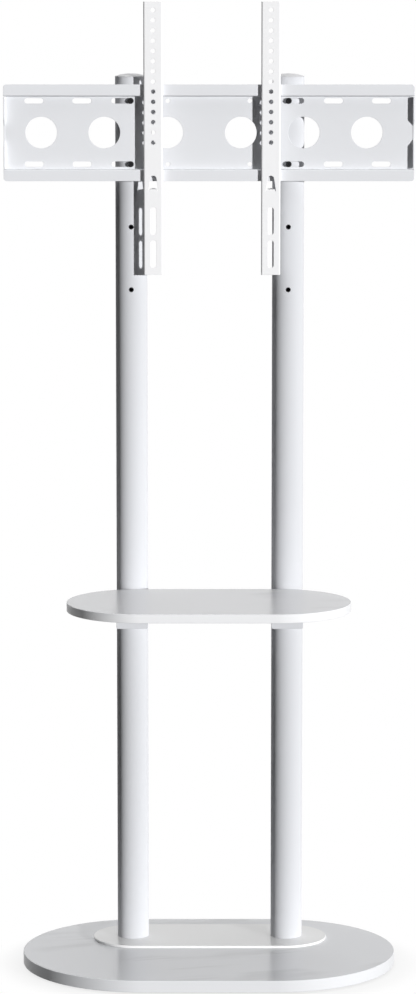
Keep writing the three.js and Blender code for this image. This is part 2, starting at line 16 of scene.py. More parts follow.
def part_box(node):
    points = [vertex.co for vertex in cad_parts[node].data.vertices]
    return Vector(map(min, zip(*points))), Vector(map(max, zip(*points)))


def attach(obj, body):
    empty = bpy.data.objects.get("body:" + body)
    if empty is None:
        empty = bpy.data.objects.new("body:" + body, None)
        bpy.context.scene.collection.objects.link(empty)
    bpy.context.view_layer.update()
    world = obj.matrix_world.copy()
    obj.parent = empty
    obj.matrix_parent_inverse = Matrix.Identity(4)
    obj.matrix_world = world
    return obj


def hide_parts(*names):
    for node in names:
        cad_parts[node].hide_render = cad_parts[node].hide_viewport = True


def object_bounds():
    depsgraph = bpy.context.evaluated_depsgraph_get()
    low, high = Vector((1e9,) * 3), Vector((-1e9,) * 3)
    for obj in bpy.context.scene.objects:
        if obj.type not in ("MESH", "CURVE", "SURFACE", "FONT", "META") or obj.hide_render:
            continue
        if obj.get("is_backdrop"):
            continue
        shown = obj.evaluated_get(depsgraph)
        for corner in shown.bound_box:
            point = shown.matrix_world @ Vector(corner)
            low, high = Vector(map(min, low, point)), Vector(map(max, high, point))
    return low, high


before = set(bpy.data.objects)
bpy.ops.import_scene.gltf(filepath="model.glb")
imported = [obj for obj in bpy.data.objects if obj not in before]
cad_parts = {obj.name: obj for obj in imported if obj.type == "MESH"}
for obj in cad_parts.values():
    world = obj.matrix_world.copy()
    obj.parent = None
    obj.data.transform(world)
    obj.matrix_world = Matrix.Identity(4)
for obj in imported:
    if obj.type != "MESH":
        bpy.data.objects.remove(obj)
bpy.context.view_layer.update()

# %% [markdown]
# ## The camera
# The photograph was taken from about 6.3 m away with a long lens, a little above the wall plate,
# so that the tops of the boards show as narrow ovals. A camera that is fitted to the outlines
# gives the place, the tilt and the lens, and these are written here as they came out.

# %% Camera
LENS, SENSOR = 143.75, 36  # both in millimetres
CAMERA_PLACE = (-0.0014, -6.2543, 1.6909)
CAMERA_TILT = 8.445  # below the level

camera_data = bpy.data.cameras.new("camera")
camera_data.sensor_width = SENSOR
camera_data.lens = LENS
camera = bpy.data.objects.new("camera", camera_data)
camera.location = CAMERA_PLACE
camera.rotation_euler = (math.radians(90 - CAMERA_TILT), 0, 0)
bpy.context.scene.collection.objects.link(camera)
bpy.context.scene.camera = camera
bpy.context.scene.view_settings.view_transform = "Standard"
print("camera", tuple(round(c, 3) for c in camera.location))

# %% [markdown]
# ## Node graphs as Python
# Finishes and repeated shapes are both graphs of nodes. A Wire stands for the output of a node,
# and Python's operators on it add Math nodes, so `1 - mask` is an expression and a graph too.
# Every other node comes from one method, which takes its settings and what its inputs get.

# %% A wire that takes part in arithmetic
class Wire:
    """An output of a node."""

    def __init__(self, graph, socket):
        self.graph, self.socket = graph, socket

    def out(self, name):
        """Another output of the same node."""
        return Wire(self.graph, self.socket.node.outputs[name])

    def __add__(self, other):
        return self.graph.math("ADD", self, other)

    def __radd__(self, other):
        return self.graph.math("ADD", other, self)

    def __sub__(self, other):
        return self.graph.math("SUBTRACT", self, other)

    def __rsub__(self, other):
        return self.graph.math("SUBTRACT", other, self)

    def __mul__(self, other):
        return self.graph.math("MULTIPLY", self, other)

    def __rmul__(self, other):
        return self.graph.math("MULTIPLY", other, self)

    def __truediv__(self, other):
        return self.graph.math("DIVIDE", self, other)

    def __abs__(self):
        return self.graph.math("ABSOLUTE", self)

    def between(self, low, high):
        """0 below low, 1 above high, and a smooth step from one to the other."""
        span = {"Value": self, "From Min": low, "From Max": high}
        return self.graph.node("ShaderNodeMapRange", {"interpolation_type": "SMOOTHSTEP"}, span)


# %% A graph that adds any node
class Graph:
    """A tree of nodes."""

    def __init__(self, tree):
        self.tree = tree

    def node(self, kind, settings=None, inputs=None):
        """Adds a node, and gives each input, by name or number, a value, a wire or some wires."""
        made = self.tree.nodes.new(kind)
        for name, value in (settings or {}).items():
            setattr(made, name, value)
        for name, value in (inputs or {}).items():
            if isinstance(name, int):
                socket = made.inputs[name]
            else:
                socket = next(s for s in made.inputs if s.name == name and s.enabled)
            for wire in value if isinstance(value, list) else [value]:
                if isinstance(wire, Wire):
                    self.tree.links.new(wire.socket, socket)
                else:
                    socket.default_value = wire
        return Wire(self, next((s for s in made.outputs if s.enabled), None))

    def math(self, operation, *terms):
        return self.node("ShaderNodeMath", {"operation": operation}, dict(enumerate(terms)))


trial = Graph(bpy.data.node_groups.new("trial", "ShaderNodeTree"))
mask = trial.node("ShaderNodeTexNoise")
inverted = 1 - mask
print("1 - mask is the node", inverted.socket.node.operation)
bpy.data.node_groups.remove(trial.tree)

# %% [markdown]
# ## Finishes
# A finish starts as an empty material with one Principled shader. What changes over the surface
# comes in by wire: tone, roughness and the height behind a Bump node. Constants go straight on
# the shader's sockets. All patterns read Object coordinates, which are metres in the frame.

# %% A finish and its parts
def noise(graph, scale, detail=2.0, vector=None, roughness=0.5):
    where = vector or graph.node("ShaderNodeTexCoord").out("Object")
    return graph.node("ShaderNodeTexNoise", {}, {
        "Vector": where, "Scale": scale, "Detail": detail, "Roughness": roughness})


def tinted(graph, first, second, share):
    """One colour that turns into another as share goes from 0 to 1."""
    return graph.node("ShaderNodeMix", {"data_type": "RGBA"},
                      {"Factor": share, "A": (*first, 1), "B": (*second, 1)})


def bump(graph, height, distance):
    return graph.node("ShaderNodeBump", {}, {"Height": height, "Distance": distance})


def finish(name, build, **constants):
    """A material whose build function gets a graph and returns the inputs that vary."""
    material = bpy.data.materials.new(name)
    material.use_nodes = True
    material.node_tree.nodes.clear()
    graph = Graph(material.node_tree)
    inputs = {key.replace("_", " "): value for key, value in constants.items()}
    inputs.update(build(graph))
    shader = graph.node("ShaderNodeBsdfPrincipled", {}, inputs)
    graph.node("ShaderNodeOutputMaterial", {}, {"Surface": shader})
    print(f"finish {name}: {len(graph.tree.nodes)} nodes")
    return material


print("parts of a finish: noise, two tones, bumps")

# %% [markdown]
# ### Powder coat
# The steel is sprayed with dry powder and baked. The coat is satin, with a fine orange peel of
# bumps about 2 mm across, and its tone drifts a little over a part. Light from the side reaches
# far round a coated tube, and a high Diffuse Roughness shows that. Flat sheets do without it: it
# would make them flash when seen from the lamp's side. The arms' coat is lighter than the sheets'.
# The tubes' coat is darker: painted shade over the whole tube, which damps its bright lit side.
# The brackets share that darker coat, as painted shade for their place under the shelf, and the
# foot plate has a glossier one with hardly any peel.

# %% Powder coats
PEEL = 0.00003  # the height of the orange peel
PEEL_ROUGHNESS = 2000  # the roughness that the peel adds, for each metre of its height
DRIFT_SCALE, GRAIN_SCALE = 5.0, 520.0  # waves in a metre
DARKEST = 0.965  # the darkest tone, as a share of the colour


def powder_coat(name, colour, gloss=0.06, rough=0.52, peel=PEEL, wrap=0.0):
    darker = tuple(DARKEST * c for c in colour)

    def build(graph):
        drift = noise(graph, DRIFT_SCALE, 3.0)
        grain = noise(graph, GRAIN_SCALE, 1.0)
        tone = (drift - 0.35) * 1.6 + (grain - 0.5) * 0.35
        return {"Base Color": tinted(graph, colour, darker, tone),
                "Roughness": rough + drift * 0.08 + grain * (PEEL_ROUGHNESS * peel),
                "Normal": bump(graph, grain, peel)}

    return finish(name, build, Specular_IOR_Level=gloss, Diffuse_Roughness=wrap)


# Darker than the sheet coat: painted shade over the whole tube that damps its bright lit side.
tube_coat = powder_coat("tube_coat", (0.715, 0.724, 0.748), wrap=0.4)
sheet_coat = powder_coat("sheet_coat", (0.79, 0.80, 0.825))
arm_coat = powder_coat("arm_coat", (0.93, 0.93, 0.94))
foot_coat = powder_coat("foot_coat", (0.94, 0.94, 0.935), gloss=1.0, rough=0.16, peel=0.000001)

# %% [markdown]
# ### Coated board
# The base and the shelf are chipboard with a white film and a plain edge band. On the shelf the
# edges get a much lighter tone than the film: painted light on the edges and painted shade on the
# top. The film is smoother than paint, so it mirrors the columns softly, and it has faint,
# slightly slanting veins. The veins are noise that is stretched along a slanting line, a second
# noise lets them through in patches, and the normal keeps them to the flat faces. Both noises are
# moved along until a long vein crosses the base in front of the foot plate, as in the photograph.

# %% Veins and coated boards
PATTERN_MOVE = (0.09, 0.02, 0)
VEIN_MOVE, VEIN_SLANT = (-0.45, -0.15, 0), 16
VEIN_STRETCH = (3.2, 0.5, 1)  # along the veins, across them and upwards
VEIN_WIDTH = 0.06  # on either side of the noise's middle value
VEIN_TONE = 0.80  # a share of the film's colour
FACE_START, FACE_END = 0.90, 0.99  # how upright the normal is where the flat face starts and ends


def veins(graph):
    """How dark the veins make each point, and the cloudy noise that they come from."""
    place = graph.node("ShaderNodeVectorMath", {"operation": "ADD"}, {
        0: graph.node("ShaderNodeTexCoord").out("Object"), 1: PATTERN_MOVE})
    along = graph.node("ShaderNodeMapping", {"vector_type": "TEXTURE"}, {
        "Vector": place, "Location": VEIN_MOVE, "Rotation": (0, 0, math.radians(VEIN_SLANT)),
        "Scale": VEIN_STRETCH})
    cloud = noise(graph, 2.6, 5.0, along, 0.6)
    patch = noise(graph, 7.0, 1.0, place).between(0.48, 0.62)
    return (1 - abs(cloud - 0.5).between(0.0, VEIN_WIDTH)) * patch, cloud


def coated_board(name, film, edge_tone, rough):
    def build(graph):
        vein, cloud = veins(graph)
        normal = graph.node("ShaderNodeNewGeometry").out("Normal")
        upright = abs(graph.node("ShaderNodeSeparateXYZ", {}, {"Vector": normal}).out("Z"))
        face = upright.between(FACE_START, FACE_END)
        dark = tuple(VEIN_TONE * c for c in film)
        veined = tinted(graph, film, dark, vein * 0.6 + cloud * 0.12)
        # The edges take the edge tone and the flat faces the film; on the shelf their difference is
        # painted light and shade.
        skin = graph.node("ShaderNodeMix", {"data_type": "RGBA"},
                          {"Factor": face, "A": (*edge_tone, 1), "B": veined})
        return {"Base Color": skin,
                "Roughness": rough + cloud * 0.06 + (1 - face) * 0.12,
                "Normal": bump(graph, noise(graph, 900.0, 1.0), 0.000006)}

    return finish(name, build, Specular_IOR_Level=0.5)


base_film = coated_board("base_film", (0.80, 0.81, 0.835), (0.79, 0.80, 0.82), 0.2)
# The shelf's edge tone is much lighter than its film: painted light on the edges, painted shade on
# the top.
shelf_film = coated_board("shelf_film", (0.74, 0.745, 0.765), (0.87, 0.875, 0.89), 0.22)

# %% [markdown]
# ### Small finishes
# The column caps are moulded plastic, the bolts in front are black oxide, the hidden screws are
# zinc plated, and the pads under the base are rubber. The black oxide is nearly pure black, and it
# also goes on the nuts behind the column holes: on the bolts it is partly their real finish and
# partly painted shade for the dark holes they cover, and on the nuts it is painted shade. Each is
# the same graph with its own numbers: a slow noise mixes two tones, a fine one makes the grain,
# and one of the two also varies the roughness.

# %% Plastic, black oxide, zinc and rubber
def grained(name, tones, slow, fine, rough, spread, spread_by, peel, **constants):
    """A finish. Slow and fine are each a noise's scale and detail."""
    def build(graph):
        noises = {"fine": noise(graph, *fine), "slow": noise(graph, *slow)}
        return {"Base Color": tinted(graph, *tones, noises["slow"]),
                "Roughness": rough + noises[spread_by] * spread,
                "Normal": bump(graph, noises["fine"], peel)}

    return finish(name, build, **constants)


cap_plastic = grained(
    "cap_plastic", [(0.71, 0.71, 0.725), (0.665, 0.67, 0.685)], slow=(30.0, 2.0),
    fine=(700.0, 2.0), rough=0.32, spread=0.12, spread_by="fine", peel=0.00001)
black_oxide = grained(
    "black_oxide", [(0.006, 0.006, 0.007), (0.016, 0.016, 0.018)], slow=(220.0, 3.0),
    fine=(1500.0, 2.0), rough=0.42, spread=0.15, spread_by="slow", peel=0.00001,
    Specular_IOR_Level=0.25)
zinc_plate = grained(
    "zinc_plate", [(0.62, 0.63, 0.64), (0.50, 0.51, 0.53)], slow=(260.0, 3.0),
    fine=(1300.0, 2.0), rough=0.28, spread=0.16, spread_by="slow", peel=0.000008, Metallic=1.0)
pad_rubber = grained(
    "pad_rubber", [(0.018, 0.018, 0.019), (0.034, 0.034, 0.035)], slow=(60.0, 2.0),
    fine=(1100.0, 3.0), rough=0.78, spread=0.15, spread_by="fine", peel=0.00004)

# %% [markdown]
# ## Outlines with rounded corners
# Nearly every part here starts as a flat outline or a turned section. Both are lists of corners,
# and a corner can get a small arc, because a real edge is never sharp and catches light. Blender
# can bevel corners too, but here the arcs are wanted before there is any mesh.

# %% Rounded corners, pieces and meshes
def rounded(corners, steps=4):
    """The points of a counterclockwise outline of (x, y, radius) corners."""
    spots = [Vector(corner[:2]) for corner in corners]
    points = []
    for index, (here, (_, _, radius)) in enumerate(zip(spots, corners)):
        if radius == 0:
            points.append(here)
            continue
        came = (here - spots[index - 1]).normalized()
        leaves = (spots[(index + 1) % len(spots)] - here).normalized()
        turn = math.atan2(came.x * leaves.y - came.y * leaves.x, came.dot(leaves))
        start = here - came * (radius * math.tan(abs(turn) / 2))
        centre = start + Vector((-came.y, came.x)) * math.copysign(radius, turn)
        for step in range(steps + 1):
            swing = Matrix.Rotation(turn * step / steps, 2)
            points.append(centre + swing @ (start - centre))
    return points


def new_piece(name, mesh):
    piece = bpy.data.objects.new(name, mesh)
    bpy.context.scene.collection.objects.link(piece)
    return piece


def new_mesh(name, points, faces, edges=()):
    mesh = bpy.data.meshes.new(name)
    mesh.from_pydata([tuple(p) for p in points], list(edges), faces)
    mesh.update()
    return mesh


square = [(x, y, 0.1) for x, y in ((0, 0), (1, 0), (1, 1), (0, 1))]
print("a square with rounded corners has", len(rounded(square)), "points")

# %% [markdown]
# ## Geometry Nodes for holes in rows
# Sheet parts are pierced before they are folded. Booleans could pierce the finished sheet, but a
# flat outline with holes is quicker, and its edges are clean enough to be rounded. One tree adds a
# grid of round-ended outlines, from a circle whose halves are drawn apart, and the same tree makes
# the round-ended boards. A second tree fills everything inside the outer outline and leaves the
# holes open. Trees stack as modifiers, and each modifier gets its own sizes. Only the second one
# sets a material, because it always comes last.

# %% Trees and how a piece uses them
def new_tree(name, sizes):
    """A Geometry Nodes tree with named inputs, its graph, and the wire of its inputs."""
    tree = bpy.data.node_groups.new(name, "GeometryNodeTree")
    tree.interface.new_socket("Geometry", in_out="OUTPUT", socket_type="NodeSocketGeometry")
    for label, kind in {"Geometry": "Geometry", **sizes}.items():
        tree.interface.new_socket(label, in_out="INPUT", socket_type="NodeSocket" + kind)
    graph = Graph(tree)
    return tree, graph, graph.node("NodeGroupInput")


def finished(graph, shape, start):
    """The shape without instances, in the finish that the tree's inputs name."""
    plain = graph.node("GeometryNodeRealizeInstances", {}, {"Geometry": shape})
    return graph.node("GeometryNodeSetMaterial", {}, {
        "Geometry": plain, "Material": start.out("Finish")})


def end_tree(graph, shape):
    graph.node("NodeGroupOutput", {}, {"Geometry": shape})
    print(f"tree {graph.tree.name}: {len(graph.tree.nodes)} nodes")


def grow(piece, tree, values):
    """Adds a tree to a piece as a modifier, with its inputs set by identifier."""
    modifier = piece.modifiers.new(tree.name, "NODES")
    modifier.node_group = tree
    for item in tree.interface.items_tree:
        if item.item_type == "SOCKET" and item.in_out == "INPUT" and item.name in values:
            modifier[item.identifier] = values[item.name]


def settle(piece):
    """Turns the piece's modifiers into a plain mesh of its own."""
    shape = piece.evaluated_get(bpy.context.evaluated_depsgraph_get())
    mesh = bpy.data.meshes.new_from_object(shape)
    piece.modifiers.clear()
    piece.data = mesh


print("helpers for trees: new_tree, finished, end_tree, grow, settle")

# %% A tree that adds round-ended outlines in a grid
outline_rows, graph, start = new_tree("outline_rows", {
    "Length": "Float", "Width": "Float", "Across": "Int", "Up": "Int", "Step across": "Float",
    "Step up": "Float", "First across": "Float", "First up": "Float", "Turn": "Float",
    "Steps": "Int"})
ring = graph.node("GeometryNodeCurvePrimitiveCircle", {"mode": "RADIUS"}, {
    "Resolution": start.out("Steps"), "Radius": start.out("Width") * 0.5})
side = graph.node("ShaderNodeSeparateXYZ", {}, {
    "Vector": graph.node("GeometryNodeInputPosition")}).out("X")
apart = graph.math("SIGN", side) * (start.out("Length") - start.out("Width")) * 0.5
drawn = graph.node("GeometryNodeSetPosition", {}, {
    "Geometry": ring, "Offset": graph.node("ShaderNodeCombineXYZ", {}, {"X": apart})})
number = graph.node("GeometryNodeInputIndex")
row = graph.math("FLOOR", number / start.out("Across"))
column = number - row * start.out("Across")
spot = graph.node("ShaderNodeCombineXYZ", {}, {
    "X": start.out("First across") + column * start.out("Step across"),
    "Y": start.out("First up") + row * start.out("Step up")})
spots = graph.node("GeometryNodePoints", {}, {
    "Count": start.out("Across") * start.out("Up"), "Position": spot})
turned_round = graph.node("FunctionNodeEulerToRotation", {}, {
    "Euler": graph.node("ShaderNodeCombineXYZ", {}, {"Z": start.out("Turn")})})
placed = graph.node("GeometryNodeInstanceOnPoints", {}, {
    "Points": spots, "Instance": drawn, "Rotation": turned_round})
realized = graph.node("GeometryNodeRealizeInstances", {}, {"Geometry": placed})
end_tree(graph, graph.node("GeometryNodeJoinGeometry", {}, {
    "Geometry": [start.out("Geometry"), realized]}))

# %% A tree that fills the outer outline and leaves the holes
fill_outlines, graph, start = new_tree("fill_outlines", {"Finish": "Material"})
parts = graph.node("GeometryNodeSeparateComponents", {}, {"Geometry": start.out("Geometry")})
drawn = graph.node("GeometryNodeMeshToCurve", {}, {"Mesh": parts.out("Mesh")})
outlines = graph.node("GeometryNodeJoinGeometry", {}, {"Geometry": [drawn, parts.out("Curve")]})
filled = graph.node("GeometryNodeFillCurve", {}, {"Curve": outlines})
end_tree(graph, finished(graph, filled, start))

# %% A pierced blank from outlines and rows of holes
def holes(width, length=None, across=1, up=1, step=0.0, rise=0.0, at=(0.0, 0.0), turn=0.0,
          steps=38):
    """A row for flat_blank. Turn is in radians.

    Steps is 2 more than a multiple of 4, so that no point of a circle is on the line where its
    halves are drawn apart.
    """
    return {"Width": width, "Length": length or width, "Across": across, "Up": up,
            "Step across": step, "Step up": rise, "First across": at[0], "First up": at[1],
            "Turn": turn, "Steps": steps}


def flat_blank(name, loops, rows, material):
    """A flat mesh inside the outermost loop or row, pierced by the others."""
    points, edges = [], []
    for loop in loops:
        first, count = len(points), len(loop)
        points += [(x, y, 0) for x, y in loop]
        edges += [(first + i, first + (i + 1) % count) for i in range(count)]
    piece = new_piece(name, new_mesh(name, points, [], edges))
    for row in rows:
        grow(piece, outline_rows, row)
    grow(piece, fill_outlines, {"Finish": material})
    settle(piece)
    return piece


print("one slot of 30 x 8.7 mm:", holes(0.0087, 0.030))

# %% [markdown]
# ## From a flat blank to a sheet with rounded edges
# Solidify and Bevel could give a blank its thickness, but a bevel breaks on the thin triangles
# round the holes. Rings of points that step round each edge are exact. Each point also keeps the
# direction of its shading as an attribute, so that the flat faces stay perfectly flat.

# %% The edges of a flat mesh
SHARPEST = 0.3  # the least cosine of half a corner's turn, so that no inset grows too long


def edge_loops(flat):
    """Each flat point's neighbour along the edge, and how it moves when the edge shrinks."""
    points = [v.co.copy() for v in flat.vertices]
    triangles = [tuple(p.vertices) if p.normal.z > 0 else tuple(reversed(p.vertices))
                 for p in flat.polygons]
    walks = dict.fromkeys(pair for face in triangles for pair in zip(face, face[1:] + face[:1]))
    ahead = {a: b for a, b in walks if (b, a) not in walks}
    behind = {b: a for a, b in ahead.items()}
    outward = {}
    for here, after in ahead.items():
        ways = [(points[here] - points[behind[here]]).normalized(),
                (points[after] - points[here]).normalized()]
        sides_out = [Vector((way.y, -way.x, 0)) for way in ways]
        halfway = (sides_out[0] + sides_out[1]).normalized()
        outward[here] = (halfway, halfway / max(halfway.dot(sides_out[0]), SHARPEST))
    return points, triangles, ahead, outward


def edge_steps(thickness, radius, steps):
    """(inset, height, tilt) round an edge, from the lower face to the upper."""
    half, quarter = thickness / 2, math.pi / 2
    lower = [quarter * (step / steps - 1) for step in range(steps + 1)]
    upper = [quarter * step / steps for step in range(steps + 1)]
    return ([(radius * (1 - math.cos(t)), -half + radius * (1 + math.sin(t)), t) for t in lower]
            + [(radius * (1 - math.cos(t)), half - radius * (1 - math.sin(t)), t) for t in upper])


def shrunk(points, outward, index, inset):
    """A flat point, moved inwards if it lies on an edge."""
    return points[index] - outward[index][1] * inset if index in outward else points[index]


def spot_key(point):
    """The same for points at the same place in two meshes."""
    return round(point.x, 6), round(point.y, 6)


print("round a 2 mm edge:", len(edge_steps(0.002, 0.0004, 3)), "points")

# %% Thickness with rounded edges
def thicken(flat, thickness, radius, steps=3, lid=None, pocket_depth=0.0):
    """A solid from a flat mesh. With a lid, holes that the lid lacks become blind pockets."""
    points, triangles, ahead, outward = edge_loops(flat)
    lid_points, lid_triangles, lid_ahead, lid_outward = edge_loops(lid or flat)
    profile = edge_steps(thickness, radius, steps)
    half, up = thickness / 2, Vector((0, 0, 1))
    made, shading, faces = [], [], []

    def add(point, height, direction):
        made.append(Vector((point.x, point.y, height)))
        shading.append(direction)
        return len(made) - 1

    def add_edge(index, inset, height, tilt):
        return add(shrunk(points, outward, index, inset), height,
                   outward[index][0] * math.cos(tilt) + up * math.sin(tilt))

    bottom = [add(shrunk(points, outward, i, radius), -half, -up) for i in range(len(points))]
    top = [add(shrunk(lid_points, lid_outward, i, radius), half, up)
           for i in range(len(lid_points))]
    faces += [tuple(bottom[i] for i in reversed(face)) for face in triangles]
    faces += [tuple(top[i] for i in face) for face in lid_triangles]

    over = {spot_key(lid_points[i]): top[i] for i in lid_ahead}
    above = {i: over[spot_key(points[i])] for i in ahead if spot_key(points[i]) in over}
    rings = [bottom, *({i: add_edge(i, *step) for i in above} for step in profile[1:-1]), above]
    for here in above:
        after = ahead[here]
        for low, high in zip(rings, rings[1:]):
            faces.append((low[here], low[after], high[after], high[here]))

    blind = [i for i in ahead if i not in above]
    floor_height = pocket_depth - half
    walls = {i: [bottom[i], *(add_edge(i, *step) for step in profile[1:steps + 1]),
                 add(points[i], floor_height, outward[i][0])] for i in blind}
    for here in blind:
        wall, next_wall = walls[here], walls[ahead[here]]
        faces += zip(wall, next_wall, next_wall[1:], wall[1:])
    while blind:
        loop = [blind[0]]
        while ahead[loop[-1]] != loop[0]:
            loop.append(ahead[loop[-1]])
        faces.append(tuple(add(points[i], floor_height, -up) for i in loop))
        blind = [i for i in blind if i not in set(loop)]

    mesh = new_mesh(flat.name + "_solid", made, faces)
    mesh.attributes.new("shading", "FLOAT_VECTOR", "POINT").data.foreach_set(
        "vector", [c for direction in shading for c in direction])
    return mesh


print("helper for solids: thicken")

# %% [markdown]
# ## Folding
# A press brake folds the pierced blank along straight lines. The sheet's middle line keeps its
# length, so a fold is a map from the flat blank to the line that the section follows: straight
# runs, and arcs for the bends. Blender's Simple Deform bends one stretch at a time, and the wall
# plate has six bends, so the map is worked out here. The blank is first cut across at each bend,
# so it has points to bend at, and the shading directions turn with the sheet.

# %% The middle line of a folded sheet
STRAIGHT = 1e-9  # a run that bends less than this, in radians in a metre, counts as straight


class FoldLine:
    """The middle line of a folded sheet in its section, as moves of (length, turn in radians)."""

    def __init__(self, start, heading, moves, first=0.0):
        self.runs, place, at = [], Vector(start), first
        for length, turn in moves:
            self.runs.append((at, place, heading, turn / length))
            place = self.ahead(place, heading, turn / length, length)
            heading, at = heading + turn, at + length
        self.end = at

    @staticmethod
    def ahead(place, heading, bend, length):
        if abs(bend) < STRAIGHT:
            return place + Vector((math.cos(heading), math.sin(heading))) * length
        later = heading + bend * length
        return place + Vector((math.sin(later) - math.sin(heading),
                               math.cos(heading) - math.cos(later))) / bend

    def at(self, distance):
        """The point and the heading after that distance. Both ends go on straight."""
        first, place, heading, bend = next(
            (run for run in reversed(self.runs) if distance >= run[0]), self.runs[0])
        way = distance - first
        return self.ahead(place, heading, bend, way), heading + bend * way

    def cuts(self, steps):
        """Where the blank is cut across, so that each bend gets that many flats."""
        ends = [run[0] for run in self.runs[1:]] + [self.end]
        return [first + (last - first) * step / steps
                for (first, _, _, bend), last in zip(self.runs, ends) if abs(bend) > STRAIGHT
                for step in range(steps + 1)]


def bend(radius, degrees):
    """The move for a bend of that radius, to the middle of the sheet."""
    return radius * math.radians(abs(degrees)), math.radians(degrees)


print("a square bend of 1.5 mm takes", round(1000 * bend(0.0015, 90)[0], 2), "mm of sheet")

# %% Maps from the blank to the folded sheet
X, Y, Z = Vector((1, 0, 0)), Vector((0, 1, 0)), Vector((0, 0, 1))


def folded_across(line, x, distance):
    """A blank's point and its three directions, where the folds run from side to side."""
    place, heading = line.at(distance)
    cos, sin = math.cos(heading), math.sin(heading)
    return Vector((x, *place)), X, Vector((0, cos, sin)), Vector((0, -sin, cos))


def folded_upright(line, distance, height, centre=0.0, side=1):
    """The same where the folds run upwards. Side is -1 for a line drawn for the other side."""
    place, heading = line.at(distance)
    cos, sin = math.cos(heading), math.sin(heading)
    return (Vector((centre + side * place.x, place.y, height)), Vector((cos, side * sin, 0)), Z,
            Vector((side * sin, -cos, 0)))


def level(x, y, z):
    """A map for a board that lies flat, with its middle at x, y, z."""
    return lambda u, v: (Vector((x + u, y + v, z)), X, Y, Z)


print("maps: folded_across, folded_upright, level")

# %% Cut and fold
def fold(mesh, name, where, cuts_u=(), cuts_v=()):
    """A flat solid mapped by where(u, v), which gives a point and three directions."""
    shape = bmesh.new()
    shape.from_mesh(mesh)
    for axis, cuts in ((X, cuts_u), (Y, cuts_v)):
        for cut in cuts:
            bmesh.ops.bisect_plane(shape, geom=shape.verts[:] + shape.edges[:] + shape.faces[:],
                                   dist=1e-7, plane_co=axis * cut, plane_no=axis)
    layer = shape.verts.layers.float_vector["shading"]
    normals = []
    for vert in shape.verts:
        u, v, w = vert.co
        place, across, along, out = where(u, v)
        flat = vert[layer]
        vert.co = place + out * w
        normals.append((across * flat.x + along * flat.y + out * flat.z).normalized())
    folded = bpy.data.meshes.new(name)
    shape.to_mesh(folded)
    shape.free()
    folded.attributes.remove(folded.attributes["shading"])
    folded.shade_smooth()
    folded.normals_split_custom_set_from_vertices(normals)
    return folded


print("helper for sheets: fold")

# %% [markdown]
# ## Dressing the frame
# Each finished piece takes a CAD body to ride on, the material slot it stands for and the nodes
# that it replaces. One helper does that, and the nodes stay in the physics.

# %% Put a piece on the frame
def dress(piece, body, material, nodes):
    piece.data.materials.clear()
    piece.data.materials.append(material)
    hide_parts(*nodes)
    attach(piece, body)
    low, high = (Vector(c) for c in (piece.bound_box[0], piece.bound_box[6]))
    size = " x ".join(f"{1000 * length:.1f}" for length in high - low)
    print(f"{piece.name}: {size} mm, {len(piece.data.polygons)} faces")


def middle(node):
    low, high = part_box(node)
    return (low + high) / 2


print("the base board's middle:", [round(1000 * c, 1) for c in middle("base_board")], "mm")

# %% [markdown]
# ## Boards
# The base, the foot plate and the shelf are plates with half-round ends. The first row of the
# outline tree makes the outline itself. From below, the base shows four pockets for the heads
# of its bolts, so it gets a lid without pockets and a bottom with them. A boolean could cut the
# pockets too, but its new edges would stay sharp.

# %% Base board, foot plate and shelf
SIDES = ("left", "right")
POCKET_WIDTH, POCKET_DEPTH = 0.020, 0.009


def board(name, node, edge, material, pocket_spots=()):
    low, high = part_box(node)
    size, centre = high - low, middle(node)
    outline = holes(size.y, size.x, steps=242)
    pockets = [holes(POCKET_WIDTH, at=(spot - centre)[:2]) for spot in pocket_spots]
    flat = flat_blank(name, [], [outline, *pockets], material)
    lid = flat_blank(name + "_lid", [], [outline], material)
    solid = thicken(flat.data, size.z, edge, 4, lid.data, POCKET_DEPTH)
    flat.data = fold(solid, name, level(*centre))
    bpy.data.objects.remove(lid)
    dress(flat, "stand", material, [node])


base_bolt_spots = [middle(f"{side}_base_bolt_{n}") for side in SIDES for n in (1, 2)]
board("base_panel", "base_board", 0.0012, base_film, base_bolt_spots)
board("foot_sheet", "foot_plate", 0.0009, foot_coat)
board("shelf_panel", "shelf_board", 0.001, shelf_film)

# %% [markdown]
# ## The wall plate
# One 2 mm sheet: windows, slots and small holes are punched, then a rail is folded forward along
# the top and the bottom, and a notched lip at each end. Relief cuts part the lips from the rails.
# A box with booleans would do for the rough form, but not for the round bends that catch light.

# %% The plate's section and its end lips
SHEET, BEND, SHEET_EDGE = 0.002, 0.0015, 0.0004
BEND_STEPS = 5  # flats in each bend
RAIL_HEIGHT = 0.0185
RELIEF = 0.0009  # the width of the cut between a lip and a rail

plate_low, plate_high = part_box("wall_plate")
plate_reach = plate_high.x
recess_middle, rail_middle = plate_high.y - SHEET / 2, plate_low.y + SHEET / 2
flange = RAIL_HEIGHT - SHEET / 2 - BEND
web = recess_middle - rail_middle - 2 * BEND
recess = plate_high.z - plate_low.z - 2 * (RAIL_HEIGHT - SHEET / 2) - 2 * BEND
section = FoldLine((rail_middle, plate_low.z), math.radians(90), [
    (flange, 0), bend(BEND, -90), (web, 0), bend(BEND, 90), (recess, 0),
    bend(BEND, 90), (web, 0), bend(BEND, -90), (flange, 0)])
lip_start = plate_reach - SHEET / 2 - BEND
lip = FoldLine((lip_start, recess_middle), 0, [
    bend(BEND, -90), (recess_middle - BEND - plate_low.y, 0)], lip_start)
blank_half, lip_half = section.end / 2, recess / 2 - RELIEF
print("the plate's blank:", [round(2000 * half, 1) for half in (lip.end, blank_half)], "mm")

